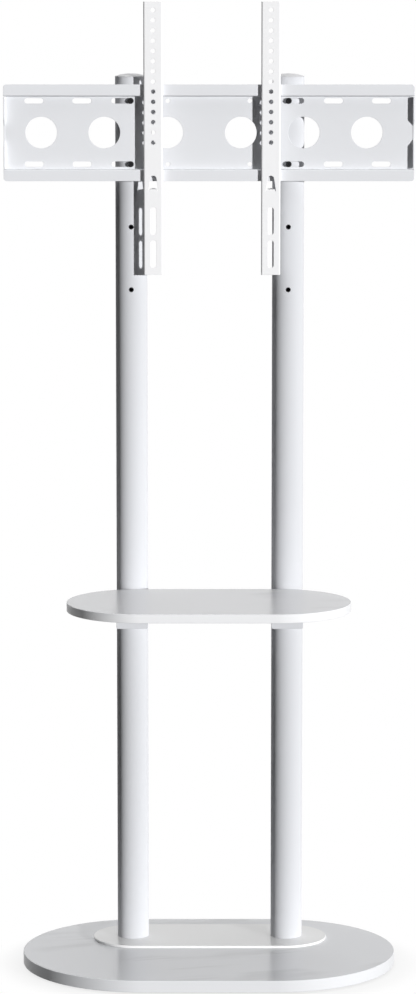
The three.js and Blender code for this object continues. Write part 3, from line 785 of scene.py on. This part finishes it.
# %% The plate's blank
PLATE_CORNER, CUT_CORNER, LIP_CORNER, NOTCH_CORNER = 0.005, 0.0004, 0.001, 0.0008
RELIEF_DEPTH = 0.001  # how far the relief cut goes past the lip's fold
NOTCH_MOUTH, NOTCH_ROOT = 0.041, 0.022
NOTCH_START = 0.0026  # from where the lip's fold starts
ROW_PITCH = 0.1  # the rows of holes in the columns have it too
WINDOW, WINDOW_PITCH, WINDOW_STARTS = 0.050, 0.0998, (-0.2654, 0.0506)
SLOT_WIDTH = 0.0087
MOUNT_SLOT, MOUNT_SLOT_PITCH, MOUNT_SLOT_STARTS = 0.030, 0.076, (-0.2768, 0.1972)
BOLT_SLOT, BOLT_SLOT_PITCH, BOLT_SLOT_START = 0.0344, 0.2704, -0.1370
SMALL_HOLE, SMALL_HOLE_PITCH = 0.007, 0.13

cut_end = lip_start - RELIEF_DEPTH
right = [(plate_reach, -blank_half, PLATE_CORNER), (plate_reach, -lip_half - RELIEF, CUT_CORNER),
         (cut_end, -lip_half - RELIEF, CUT_CORNER), (cut_end, -lip_half, CUT_CORNER),
         (lip.end, -lip_half, LIP_CORNER), (lip.end, -NOTCH_MOUTH / 2, NOTCH_CORNER),
         (lip_start + NOTCH_START, -NOTCH_ROOT / 2, NOTCH_CORNER)]
right += [(x, -y, radius) for x, y, radius in reversed(right)]
plate_outline = rounded(right + [(-x, -y, radius) for x, y, radius in right])

lower_row = -ROW_PITCH / 2
two_rows = {"across": 2, "up": 2, "rise": ROW_PITCH}
plate_rows = [holes(WINDOW, across=3, step=WINDOW_PITCH, at=(first, 0.0), steps=98)
              for first in WINDOW_STARTS]
plate_rows += [holes(SLOT_WIDTH, MOUNT_SLOT, step=MOUNT_SLOT_PITCH, at=(first, lower_row),
                     **two_rows) for first in MOUNT_SLOT_STARTS]
plate_rows += [
    holes(SLOT_WIDTH, BOLT_SLOT, step=BOLT_SLOT_PITCH, at=(BOLT_SLOT_START, lower_row), **two_rows),
    holes(SMALL_HOLE, step=SMALL_HOLE_PITCH, at=(-SMALL_HOLE_PITCH / 2, lower_row), **two_rows)]
print("holes in the plate:", sum(row["Across"] * row["Up"] for row in plate_rows))

# %% Fold the plate
def plate_fold(u, v):
    if abs(u) > lip_start and abs(v) < lip_half + RELIEF / 2:
        height = (plate_low.z + plate_high.z) / 2 + v
        return folded_upright(lip, abs(u), height, side=math.copysign(1, u))
    return folded_across(section, u, v + blank_half)


plate = flat_blank("mount_plate", [plate_outline], plate_rows, sheet_coat)
plate.data = fold(thicken(plate.data, SHEET, SHEET_EDGE), "mount_plate", plate_fold,
                  [side * cut for cut in lip.cuts(BEND_STEPS) for side in (-1, 1)],
                  [cut - blank_half for cut in section.cuts(BEND_STEPS)])
dress(plate, "stand", sheet_coat, ["wall_plate"])

# %% [markdown]
# ## The hanging arms
# Each arm is a channel. Its flanges end in hooks that hang on the upper rail, its face has a row
# of round holes and two long slots, and a tongue is cut free in the face and folded back under
# the lower rail. The tongue leaves a bell-shaped hole, and in the blank it is a slit of that form.
# A mirrored copy would do for the second arm, but the photograph's arms are alike, so the same
# blank is folded again in the other place.

# %% The arm's channel and its outline
ARM_DEPTH = 0.0077
ARM_CORNER = 0.0012
HOOK_GAP, HOOK_CLEARANCE = 0.0003, 0.0008  # above the rail, and behind its sheet
HOOK_DROP, HOOK_THICKNESS = 0.010, 0.004

arm_low, arm_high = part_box("left_arm")
arm_face = arm_low.y
reach = (arm_high.x - arm_low.x - SHEET) / 2
flange_depth = ARM_DEPTH - SHEET / 2 - BEND
edge = flange_depth + BEND * math.pi / 2 + reach - BEND
channel = FoldLine((-reach, arm_face + ARM_DEPTH), math.radians(-90), [
    (flange_depth, 0), bend(BEND, 90), (2 * (reach - BEND), 0), bend(BEND, 90),
    (flange_depth, 0)], -edge)
hook_seat = plate_high.z + HOOK_GAP
hook_tip = plate_high.z - HOOK_DROP
hook_in = edge + (plate_low.y + SHEET + HOOK_CLEARANCE) - (arm_face + ARM_DEPTH)
hook_out = hook_in + HOOK_THICKNESS
hook = [(edge, hook_seat, 0.0005), (hook_in, hook_seat, 0.0004), (hook_in, hook_tip, 0.0006),
        (hook_out, hook_tip, 0.0008), (hook_out, hook_seat + 0.0045, 0.0015),
        (hook_in, hook_seat + 0.009, 0.001), (edge, hook_seat + 0.018, 0.001)]
half_blank = [(edge, arm_low.z, ARM_CORNER), *hook, (edge, arm_high.z, ARM_CORNER)]
arm_outline = rounded(half_blank + [(-x, z, radius) for x, z, radius in reversed(half_blank)])
print("the arm's blank:", round(2000 * edge, 1), "mm, over the hooks", round(2000 * hook_out, 1))

# %% The tongue and the slit that frees it
TONGUE_DROP, TONGUE_STRAIGHT = 0.0122, 0.0165
BELL_HEIGHT, BELL_STEPS = 0.0213, 9
SLIT_FOOT = 0.0006  # below the tongue's root
OUTER_FOOT, OUTER_RADIUS = 0.008, 0.005
INNER_FOOT, INNER_RADIUS = 0.0069, 0.0041
SLIT_MIDDLE, SLIT_LEAN = 0.0075, 0.17  # halfway between the slit's sides, at its foot

tongue_top = plate_low.z - TONGUE_DROP
root = tongue_top - SHEET / 2 - BEND
slit_foot = root - SLIT_FOOT
tongue = FoldLine((arm_face + SHEET / 2, root), math.radians(90), [
    bend(BEND, -90), (TONGUE_STRAIGHT, 0)], root)


def bell(half_foot, radius, tip):
    """A bell-shaped arch, from its right foot over the tip to its left foot."""
    swing = [math.pi * step / (2 * BELL_STEPS) for step in range(2 * BELL_STEPS + 1)]
    arc = [(radius * math.cos(a), tip - radius + radius * math.sin(a)) for a in swing]
    return [(half_foot, slit_foot), *arc, (-half_foot, slit_foot)]


def in_tongue(u, v):
    """Whether a point of the blank is between the slit's sides and above its foot."""
    inside = abs(u) < SLIT_MIDDLE - SLIT_LEAN * (v - slit_foot)
    return inside and root <= v < tongue.end + 1e-5


slit = (bell(OUTER_FOOT, OUTER_RADIUS, tongue_top + BELL_HEIGHT)
        + bell(INNER_FOOT, INNER_RADIUS, tongue.end)[::-1])
print("tongue reaches", round(1000 * (tongue.end - root), 2), "mm from its root")

# %% Arms
ARM_HOLE, ARM_HOLE_COUNT, ARM_HOLE_PITCH, ARM_HOLE_INSET = 0.007, 14, 0.016, 0.013
ARM_SLOT_WIDTH, ARM_SLOT, ARM_SLOT_PITCH, ARM_SLOT_INSET = 0.0093, 0.044, 0.0525, 0.033
LOCK_HOLE, LOCK_HOLE_INSET = 0.0056, 0.0055

lowest_hole = arm_high.z - ARM_HOLE_INSET - (ARM_HOLE_COUNT - 1) * ARM_HOLE_PITCH
arm_rows = [
    holes(ARM_HOLE, up=ARM_HOLE_COUNT, rise=ARM_HOLE_PITCH, at=(0.0, lowest_hole)),
    holes(ARM_SLOT_WIDTH, ARM_SLOT, up=2, rise=ARM_SLOT_PITCH,
          at=(0.0, arm_low.z + ARM_SLOT_INSET), turn=math.pi / 2),
    holes(LOCK_HOLE, at=(0.0, tongue.end - LOCK_HOLE_INSET), steps=26)]


def arm_fold(place_x):
    def where(u, v):
        if in_tongue(u, v):
            return folded_across(tongue, place_x + u, v)
        return folded_upright(channel, u, v, place_x)
    return where


for side in SIDES:
    name = f"{side}_hanging_arm"
    arm = flat_blank(name, [arm_outline, slit], arm_rows, arm_coat)
    arm.data = fold(thicken(arm.data, SHEET, SHEET_EDGE), name,
                    arm_fold(middle(f"{side}_arm").x), channel.cuts(BEND_STEPS),
                    tongue.cuts(BEND_STEPS))
    dress(arm, f"{side}_arm", arm_coat, [f"{side}_arm"])

# %% [markdown]
# ## The shelf's brackets
# Each bracket is a 3 mm angle, folded once. Its upright is bolted to the front of a column and
# its long flange lies under the shelf. From the front only the end of the upright shows. It is
# made as the plate is, from a pierced blank with one bend.

# %% Brackets
BRACKET_SHEET, BRACKET_BEND, BRACKET_CORNER, BRACKET_EDGE = 0.003, 0.0025, 0.003, 0.0005
BRACKET_BEND_STEPS = 6
BOLT_HOLE, SCREW_HOLE = 0.0056, 0.0046

for side in SIDES:
    low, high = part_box(f"{side}_shelf_bracket")
    stem, top = high.y - BRACKET_SHEET / 2, high.z - BRACKET_SHEET / 2
    angle = FoldLine((stem, low.z), math.radians(90), [
        (top - low.z - BRACKET_BEND, 0), bend(BRACKET_BEND, 90),
        (stem - BRACKET_BEND - low.y, 0)])
    half = (high.x - low.x) / 2
    corners = [(half, 0), (half, angle.end), (-half, angle.end), (-half, 0)]
    outline = rounded([(*corner, BRACKET_CORNER) for corner in corners], 8)
    bolt_z = [middle(f"{side}_bracket_bolt_{n}").z for n in (1, 2)]
    screw_y = [middle(f"{side}_shelf_screw_{n}").y for n in (1, 2)]
    first_screw = angle.end - (max(screw_y) - low.y)
    rows = [holes(BOLT_HOLE, up=2, rise=abs(bolt_z[0] - bolt_z[1]),
                  at=(0.0, min(bolt_z) - low.z), steps=26),
            holes(SCREW_HOLE, up=2, rise=abs(screw_y[0] - screw_y[1]), at=(0.0, first_screw),
                  steps=26)]

    def bracket_fold(u, v, angle=angle, place_x=(low.x + high.x) / 2):
        return folded_across(angle, place_x + u, v)

    name = f"{side}_angle_bracket"
    bracket = flat_blank(name, [outline], rows, tube_coat)
    solid = thicken(bracket.data, BRACKET_SHEET, BRACKET_EDGE)
    bracket.data = fold(solid, name, bracket_fold, (), angle.cuts(BRACKET_BEND_STEPS))
    dress(bracket, "stand", tube_coat, [f"{side}_shelf_bracket"])

# %% [markdown]
# ## Turned shapes
# Tubes, caps, pads and screws are turned: a section goes round an axis. Here every ring of a
# section may also follow a hexagon, so that one helper makes a screw head with its socket. Blender
# has a Screw modifier for this, but it can't change from a circle to a hexagon on the way.

# %% Turn a section round the Z axis
SHARP_FROM = 32  # degrees between two faces


def turned(name, section, steps=48, closed=False):
    """A mesh from (radius, height) or (flat, height, sides) rings that run upwards outside."""
    points, faces, rings = [], [], []
    for radius, height, *sides in section:
        if radius < 1e-6:
            rings.append([len(points)] * steps)
            points.append((0, 0, height))
            continue
        rings.append([len(points) + step for step in range(steps)])
        for step in range(steps):
            angle = 2 * math.pi * step / steps
            reach = radius
            if sides:
                wedge = 2 * math.pi / sides[0]
                reach = radius / math.cos((angle + wedge / 2) % wedge - wedge / 2)
            points.append((reach * math.cos(angle), reach * math.sin(angle), height))
    for below, above in zip(rings, rings[1:] + (rings[:1] if closed else [])):
        for step in range(steps):
            after = (step + 1) % steps
            face = [below[step], below[after], above[after], above[step]]
            faces.append(tuple(dict.fromkeys(face)))
    mesh = new_mesh(name, points, [face for face in faces if len(face) > 2])
    mesh.shade_smooth()
    mesh.set_sharp_from_angle(angle=math.radians(SHARP_FROM))
    return mesh


print("helper for turned shapes: turned")

# %% [markdown]
# ## The columns
# A column is a length of welded steel tube, 50.8 mm across, with rows of 8 mm holes in front. A
# Boolean modifier for each hole would do, but one tree keeps the rows' measures together: it sets
# a cutter on each point of a row and takes all of them off the tube. The normals are then worked
# out anew: on the tube they point straight away from its axis.

# %% A tree that drills two rows of holes
DRILL_STEPS = 40

drilled_tube, graph, start = new_tree("drilled_tube", {
    "Hole": "Float", "Depth": "Float", "X": "Float", "Y": "Float", "Upper": "Float",
    "Upper pitch": "Float", "Upper count": "Int", "Lower": "Float", "Lower pitch": "Float",
    "Lower count": "Int", "Finish": "Material"})
drill = graph.node("GeometryNodeMeshCylinder", {}, {
    "Vertices": DRILL_STEPS, "Radius": start.out("Hole") * 0.5, "Depth": start.out("Depth")})
lying = graph.node("GeometryNodeTransform", {}, {
    "Geometry": drill, "Rotation": (math.radians(90), 0, 0)})
rows = []
for which in ("Upper", "Lower"):
    first = graph.node("ShaderNodeCombineXYZ", {}, {
        "X": start.out("X"), "Y": start.out("Y"), "Z": start.out(which)})
    pitch = graph.node("ShaderNodeCombineXYZ", {}, {"Z": 0 - start.out(which + " pitch")})
    rows.append(graph.node("GeometryNodeMeshLine", {"mode": "OFFSET"}, {
        "Count": start.out(which + " count"), "Start Location": first, "Offset": pitch}))
spots = graph.node("GeometryNodeJoinGeometry", {}, {"Geometry": rows})
drills = graph.node("GeometryNodeRealizeInstances", {}, {
    "Geometry": graph.node("GeometryNodeInstanceOnPoints", {}, {
        "Points": spots, "Instance": lying})})
drilled = graph.node("GeometryNodeMeshBoolean", {"operation": "DIFFERENCE", "solver": "EXACT"}, {
    "Mesh 1": start.out("Geometry"), "Mesh 2": [drills]})
end_tree(graph, finished(graph, drilled, start))

# %% Normals of a tube
ON_THE_TUBE = 0.97  # the least cosine between a face of the tube and straight outwards


def round_off(mesh, axis):
    """Normals that point straight from the axis on the tube's outside and inside."""
    normals = []
    for face in mesh.polygons:
        for index in face.vertices:
            away = mesh.vertices[index].co - axis
            away = Vector((away.x, away.y, 0)).normalized()
            lean = face.normal.dot(away)
            on_tube = abs(lean) > ON_THE_TUBE
            normals.append(away * math.copysign(1, lean) if on_tube else face.normal)
    mesh.shade_smooth()
    mesh.normals_split_custom_set(normals)


print("a tube's face leans less than", round(math.degrees(math.acos(ON_THE_TUBE))), "degrees")

# %% Columns
TUBE_WALL, TUBE_STEPS = 0.0015, 128
INNER_EDGE, OUTER_EDGE = 0.0002, 0.0005
COLUMN_HOLE, DRILL_DEPTH = 0.008, 0.008

for side in SIDES:
    low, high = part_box(f"{side}_column")
    outer, axis = (high.x - low.x) / 2, middle(f"{side}_column")
    inner = outer - TUBE_WALL
    wall = [(inner, low.z, INNER_EDGE), (outer, low.z, OUTER_EDGE),
            (outer, high.z, OUTER_EDGE), (inner, high.z, INNER_EDGE)]
    name = f"{side}_tube"
    tube = new_piece(name, turned(name, rounded(wall, 3), TUBE_STEPS, True))
    tube.data.transform(Matrix.Translation((axis.x, axis.y, 0)))
    upper = max(middle(f"{side}_plate_nut_{n}").z for n in (1, 2, 3, 4))
    bracket_z = [middle(f"{side}_bracket_nut_{n}").z for n in (1, 2)]
    grow(tube, drilled_tube, {
        "Hole": COLUMN_HOLE, "Depth": DRILL_DEPTH, "X": axis.x, "Y": low.y, "Upper": upper,
        "Upper pitch": ROW_PITCH, "Upper count": 4, "Lower": max(bracket_z),
        "Lower pitch": abs(bracket_z[0] - bracket_z[1]), "Lower count": 2, "Finish": tube_coat})
    settle(tube)
    round_off(tube.data, axis)
    dress(tube, "stand", tube_coat, [f"{side}_column"])

# %% [markdown]
# ### Column caps
# A moulded plug closes each tube. Its thin rim sits on the tube's end and its top is a shallow
# dome, so the photograph shows a fine seam and a soft curve above it. A turned section gives both
# at once, with the dome's curve as a row of short straight pieces.

# %% Caps
PLUG_GAP, PLUG_WALL = 0.0003, 0.002
CAP_RIM, CAP_OVERHANG = 0.0008, 0.0006
DOME_STEPS, CAP_STEPS = 16, 96

for side in SIDES:
    low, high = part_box(f"{side}_column_cap")
    tube_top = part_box(f"{side}_column")[1].z
    radius, axis = (high.x - low.x) / 2, middle(f"{side}_column_cap")
    plug, rim = radius - TUBE_WALL - PLUG_GAP, tube_top + CAP_RIM
    bore, ceiling = plug - PLUG_WALL, tube_top - PLUG_WALL
    corners = [(0, ceiling, 0), (bore, ceiling, 0.001), (bore, low.z, 0.0005),
               (plug, low.z, 0.0005), (plug, tube_top, 0.0002),
               (radius - CAP_OVERHANG, tube_top, 0.0003)]
    for step in range(DOME_STEPS + 1):
        share = 1 - step / DOME_STEPS
        corners.append((radius * share, rim + (high.z - rim) * (1 - share ** 2), 0))
    name = f"{side}_cap"
    cap = new_piece(name, turned(name, rounded(corners), CAP_STEPS))
    cap.data.transform(Matrix.Translation((axis.x, axis.y, 0)))
    dress(cap, "stand", cap_plastic, [f"{side}_column_cap"])

# %% [markdown]
# ## Screws, bolts and pads
# All screws here have a low round head with a hexagon socket. One turned template per size is
# set on its points by a tree, lined up with the way it faces and spun by a seeded amount, as
# nobody lines up the sockets by hand. So few screws could be copied one by one too, but the tree
# makes one piece of all that share a size and a body. The pads are stamped discs and use the same
# tree.

# %% A tree that sets a template on points
set_on_points, graph, start = new_tree("set_on_points", {
    "Template": "Object", "Spin": "Float", "Seed": "Int", "Finish": "Material"})
facing = graph.node("GeometryNodeInputNamedAttribute", {"data_type": "FLOAT_VECTOR"}, {
    "Name": "facing"})
upright = graph.node("FunctionNodeAlignRotationToVector", {"axis": "Z"}, {"Vector": facing})
spin = graph.node("FunctionNodeRandomValue", {"data_type": "FLOAT"}, {
    "Max": start.out("Spin"), "Seed": start.out("Seed")})
spun = graph.node("FunctionNodeRotateRotation", {"rotation_space": "LOCAL"}, {
    "Rotation": upright, "Rotate By": graph.node("FunctionNodeEulerToRotation", {}, {
        "Euler": graph.node("ShaderNodeCombineXYZ", {}, {"Z": spin})})})
template = graph.node("GeometryNodeObjectInfo", {}, {
    "Object": start.out("Template")}).out("Geometry")
placed = graph.node("GeometryNodeInstanceOnPoints", {}, {
    "Points": start.out("Geometry"), "Instance": template, "Rotation": spun})
end_tree(graph, finished(graph, placed, start))

# %% One piece from a template and its points
MOST_SPIN = 6.28  # radians


def set_pieces(name, template_mesh, spots, facing, material, seed):
    """One piece: the template at every spot, with its Z axis along facing."""
    piece = new_piece(name, new_mesh(name, spots, []))
    piece.data.attributes.new("facing", "FLOAT_VECTOR", "POINT").data.foreach_set(
        "vector", [c for _ in spots for c in facing])
    template = new_piece(name + "_template", template_mesh)
    grow(piece, set_on_points, {"Template": template, "Spin": MOST_SPIN, "Seed": seed,
                                "Finish": material})
    settle(piece)
    bpy.data.objects.remove(template)
    return piece


print("helper for fasteners: set_pieces")

# %% The form of a socket screw
SCREW_STEPS, HEAD_STEPS = 36, 6
TIP = 0.0006  # the chamfer at the shank's end
THREAD_START = 0.001  # above the tip
UNTHREADED = 0.003  # how much of the shank has no thread, about half of it under the head
PLAIN_TOP = 0.0015  # where the last ring below the seat is
GROOVE = 0.396  # the thread's depth, as a share of its pitch
HEAD_EDGE = 0.0003
HEAD_SIDE = 0.3  # the upright part of the head's side, as a share of the head's height
HEAD_CURVE = 0.27  # how far the curve above it comes in, as a share of the head's width
SOCKET_CONE = 0.0004


def shank_rings(shank, length, pitch):
    """The threaded shank, from its tip at -length up to the seat at 0."""
    radius, root = shank / 2, shank / 2 - GROOVE * pitch
    rings = [(0, -length), (radius - TIP, -length), (radius, -length + TIP)]
    for turn in range(int((length - UNTHREADED) / pitch)):
        z = -length + THREAD_START + turn * pitch
        rings += [(radius, z), (radius, z + 0.15 * pitch),
                  (root, z + 0.5 * pitch), (root, z + 0.6 * pitch)]
    return rings + [(radius, -PLAIN_TOP), (radius, 0)]


def head_rings(head, height, across, depth):
    """The domed head, from the seat over its top down into the hexagon socket."""
    rings = [(head / 2 - HEAD_EDGE, 0), (head / 2, HEAD_EDGE), (head / 2, HEAD_SIDE * height)]
    for step in range(1, HEAD_STEPS + 1):
        tilt = math.pi / 2 * step / HEAD_STEPS
        rings.append((head / 2 - HEAD_CURVE * head * (1 - math.cos(tilt)),
                      height * (HEAD_SIDE + (1 - HEAD_SIDE) * math.sin(tilt))))
    floor = height - depth
    return rings + [(across / 2 + HEAD_EDGE, height, 6), (across / 2, height - HEAD_EDGE, 6),
                    (across / 2, floor, 6), (0, floor - SOCKET_CONE)]


print("an M5 screw has", len(shank_rings(0.005, 0.016, 0.0008)), "rings on its shank")

# %% Screws on their seats
def seats(names, facing, height_of_head):
    """Where the heads sit: the end of each node's box that faces outwards, less the head."""
    spots = []
    for name in names:
        low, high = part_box(name)
        outer = high if sum(facing) > 0 else low
        axis = next(i for i in range(3) if facing[i])
        spot = (low + high) / 2
        spot[axis] = outer[axis] - facing[axis] * height_of_head
        spots.append(spot)
    return spots


def fasten(name, body, material, nodes, facing, seed, *, shank, length, pitch, head, height,
           across, depth):
    """Puts screws of one size, with their sockets' width across and depth, on their nodes."""
    rings = shank_rings(shank, length, pitch) + head_rings(head, height, across, depth)
    screws = set_pieces(name, turned(name + "_form", rings, SCREW_STEPS),
                        seats(nodes, facing, height), facing, material, seed)
    dress(screws, body, material, nodes)


print("helpers for screws: seats, fasten")

# %% Bolts in the wall plate and the brackets
FRONT, DOWN = (0, -1, 0), (0, 0, -1)

# Near-black heads: a real black oxide finish, and also painted shade for the dark slots they sit
# in.
front = [f"{side}_{kind}_bolt_{n}" for side in SIDES for kind in ("plate", "bracket")
         for n in (1, 2)]
fasten("front_bolts", "stand", black_oxide, front, FRONT, 3, shank=0.005,
       length=0.016, pitch=0.0008, head=0.0095, height=0.0028, across=0.003, depth=0.0017)

# %% Bolts under the base and screws under the shelf
under = [f"{side}_base_bolt_{n}" for side in SIDES for n in (1, 2)]
fasten("base_bolts", "stand", zinc_plate, under, DOWN, 5, shank=0.008,
       length=0.022, pitch=0.00125, head=0.015, height=0.0044, across=0.005, depth=0.0026)

below = [f"{side}_shelf_screw_{n}" for side in SIDES for n in (1, 2)]
fasten("shelf_screws", "stand", zinc_plate, below, DOWN, 7, shank=0.004,
       length=0.011, pitch=0.0007, head=0.008, height=0.0024, across=0.0025, depth=0.0014)

# %% Lock screws in the arms' tongues
for side, seed in zip(SIDES, (11, 12)):
    node = f"{side}_lock_screw"
    fasten(f"{side}_lock", node, zinc_plate, [node], DOWN, seed, shank=0.005,
           length=0.024, pitch=0.0008, head=0.009, height=0.0036, across=0.003, depth=0.002)

# %% Rubber pads
PAD_GLUED_EDGE, PAD_FLOOR_EDGE = 0.0004, 0.0008
UP = (0, 0, 1)

pads = [f"base_pad_{n}" for n in range(1, 7)]
pad_low, pad_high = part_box(pads[0])
pad_radius, pad_half = (pad_high.x - pad_low.x) / 2, (pad_high.z - pad_low.z) / 2
pad_section = rounded([(0, -pad_half, 0), (pad_radius, -pad_half, PAD_FLOOR_EDGE),
                       (pad_radius, pad_half, PAD_GLUED_EDGE), (0, pad_half, 0)])
pad = set_pieces("rubber_pads", turned("pad", pad_section), [middle(n) for n in pads], UP,
                 pad_rubber, 2)
dress(pad, "stand", pad_rubber, pads)

# %% [markdown]
# ## Nuts that stay as they are
# The square nuts welded inside the tubes and the threaded discs in their feet are hidden but for
# what shows through the holes. Their solids have the right shape, so they stay and get a finish.
# The nuts inside the tubes get the near-black oxide, which is painted shade: it makes the holes
# in front show black.

# %% Nuts
nuts = {name: node for name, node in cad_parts.items()
        if name.endswith("foot_nut") or "_nut_" in name}
for name, node in nuts.items():
    # The nuts behind the holes are near-black as painted shade in the holes; the foot discs are
    # zinc.
    finish_or_hole_shade = zinc_plate if name.endswith("foot_nut") else black_oxide
    for place in node.material_slots:
        place.material = finish_or_hole_shade
print("nuts that keep their solids:", len(nuts))

# %% [markdown]
# ## Floor, backdrop and light
# The photograph has a white ground without a visible floor. The floor here is plain white to the
# camera, and close to the base it takes a fifth of its look from real light, so the stand's own
# shadow stays under it and fades out within 60 mm. Diffuse rays meet a dark floor, because a
# pale one would throw light up the tubes. It lights nothing, so it isn't searched as a lamp.

# %% Floor
FLOOR_REACH = 6
SHADE_SHARE, SHADE_START, SHADE_END = 0.2, -0.01, 0.06  # the last two are metres from the base


def plain_rays(graph):
    """1 for camera, glossy and transmission rays, which see plain white, and 0 for the others."""
    rays = graph.node("ShaderNodeLightPath")
    mirrored = graph.math("MAXIMUM", rays.out("Is Glossy Ray"), rays.out("Is Transmission Ray"))
    return graph.math("MAXIMUM", rays.out("Is Camera Ray"), mirrored)


corners = [(-FLOOR_REACH, -FLOOR_REACH, 0), (FLOOR_REACH, -FLOOR_REACH, 0),
           (FLOOR_REACH, FLOOR_REACH, 0), (-FLOOR_REACH, FLOOR_REACH, 0)]
floor = new_piece("floor", new_mesh("floor", corners, [(0, 1, 2, 3)]))
floor_material = bpy.data.materials.new("pale_floor")
floor_material.use_nodes = True
floor_material.node_tree.nodes.clear()
graph = Graph(floor_material.node_tree)
place = graph.node("ShaderNodeSeparateXYZ", {}, {
    "Vector": graph.node("ShaderNodeTexCoord").out("Object")})
base_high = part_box("base_board")[1]
end_radius = base_high.y
beyond = graph.math("MAXIMUM", abs(place.out("X")) - (base_high.x - end_radius), 0)
away = graph.math("SQRT", beyond * beyond + place.out("Y") * place.out("Y")) - end_radius
near = (1 - away.between(SHADE_START, SHADE_END)) * SHADE_SHARE
seen = plain_rays(graph)
tone = tinted(graph, (0.1, 0.1, 0.1), (0.8, 0.8, 0.8), seen)
painted = graph.node("ShaderNodeBsdfDiffuse", {}, {"Color": tone})
white = graph.node("ShaderNodeEmission", {}, {"Color": (1, 1, 1, 1), "Strength": 1.0})
shown = graph.node("ShaderNodeMixShader", {}, {0: seen * (1 - near), 1: painted, 2: white})
graph.node("ShaderNodeOutputMaterial", {}, {"Surface": shown})
floor_material.cycles.emission_sampling = "NONE"
floor.data.materials.append(floor_material)
floor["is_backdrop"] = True
print("floor:", 2 * FLOOR_REACH, "m wide,", len(graph.tree.nodes), "nodes")

# %% [markdown]
# ### Light
# The shading of the round columns tells where the light stood: dark on the left edge, bright
# from a third of the width to the right. That is a lamp low on the right of the camera, and the
# arms' sharp shadows on the plate give its bearing. Glossy rays don't see it, because it would
# burn white spots into the boards. The rest comes from soft windows in a white room: one straight
# above lights the tops of the boards and hardly reaches what is upright, and two behind keep the
# back and the right side from going dark. Only diffuse rays see them: to the camera and in
# reflections the room is plain white.

# %% A white room with soft windows
world = bpy.data.worlds.new("white room")
bpy.context.scene.world = world
world.use_nodes = True
world.node_tree.nodes.clear()
graph = Graph(world.node_tree)
seen = plain_rays(graph)
direction = graph.node("ShaderNodeTexCoord").out("Generated")


def window(azimuth, elevation, inner, outer, strength):
    """A round patch of light in the room's walls, which fades from its inner angle to its outer."""
    azimuth, elevation = math.radians(azimuth), math.radians(elevation)
    way = (math.sin(azimuth) * math.cos(elevation), -math.cos(azimuth) * math.cos(elevation),
           math.sin(elevation))
    facing = graph.node("ShaderNodeVectorMath", {"operation": "DOT_PRODUCT"},
                        {0: direction, 1: way}).out("Value")
    return facing.between(math.cos(math.radians(outer)), math.cos(math.radians(inner))) * strength


light = (window(azimuth=0, elevation=90, inner=18, outer=38, strength=2.1)
         + window(azimuth=180, elevation=10, inner=20, outer=40, strength=1.2)
         + window(azimuth=130, elevation=5, inner=15, outer=35, strength=0.3))
room = graph.node("ShaderNodeBackground", {}, {
    "Color": (1, 1, 1, 1), "Strength": light * (1 - seen) + seen})
graph.node("ShaderNodeOutputWorld", {}, {"Surface": room})
print("the room has", len(graph.tree.nodes), "nodes")

# %% The key lamp
KEY_AZIMUTH, KEY_ELEVATION = 40, 5  # the azimuth goes from the viewer's side towards the right
KEY_STRENGTH, KEY_SPREAD = 3.58, 3

lamp = bpy.data.lights.new("key", "SUN")
lamp.energy = KEY_STRENGTH
lamp.angle = math.radians(KEY_SPREAD)
key = bpy.data.objects.new("key", lamp)
key.rotation_euler = (math.radians(90 - KEY_ELEVATION), 0, math.radians(KEY_AZIMUTH))
key.visible_glossy = False
bpy.context.scene.collection.objects.link(key)
print("key lamp:", KEY_AZIMUTH, "degrees to the right,", KEY_ELEVATION, "degrees up")

# %% Sizes and finish
low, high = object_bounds()
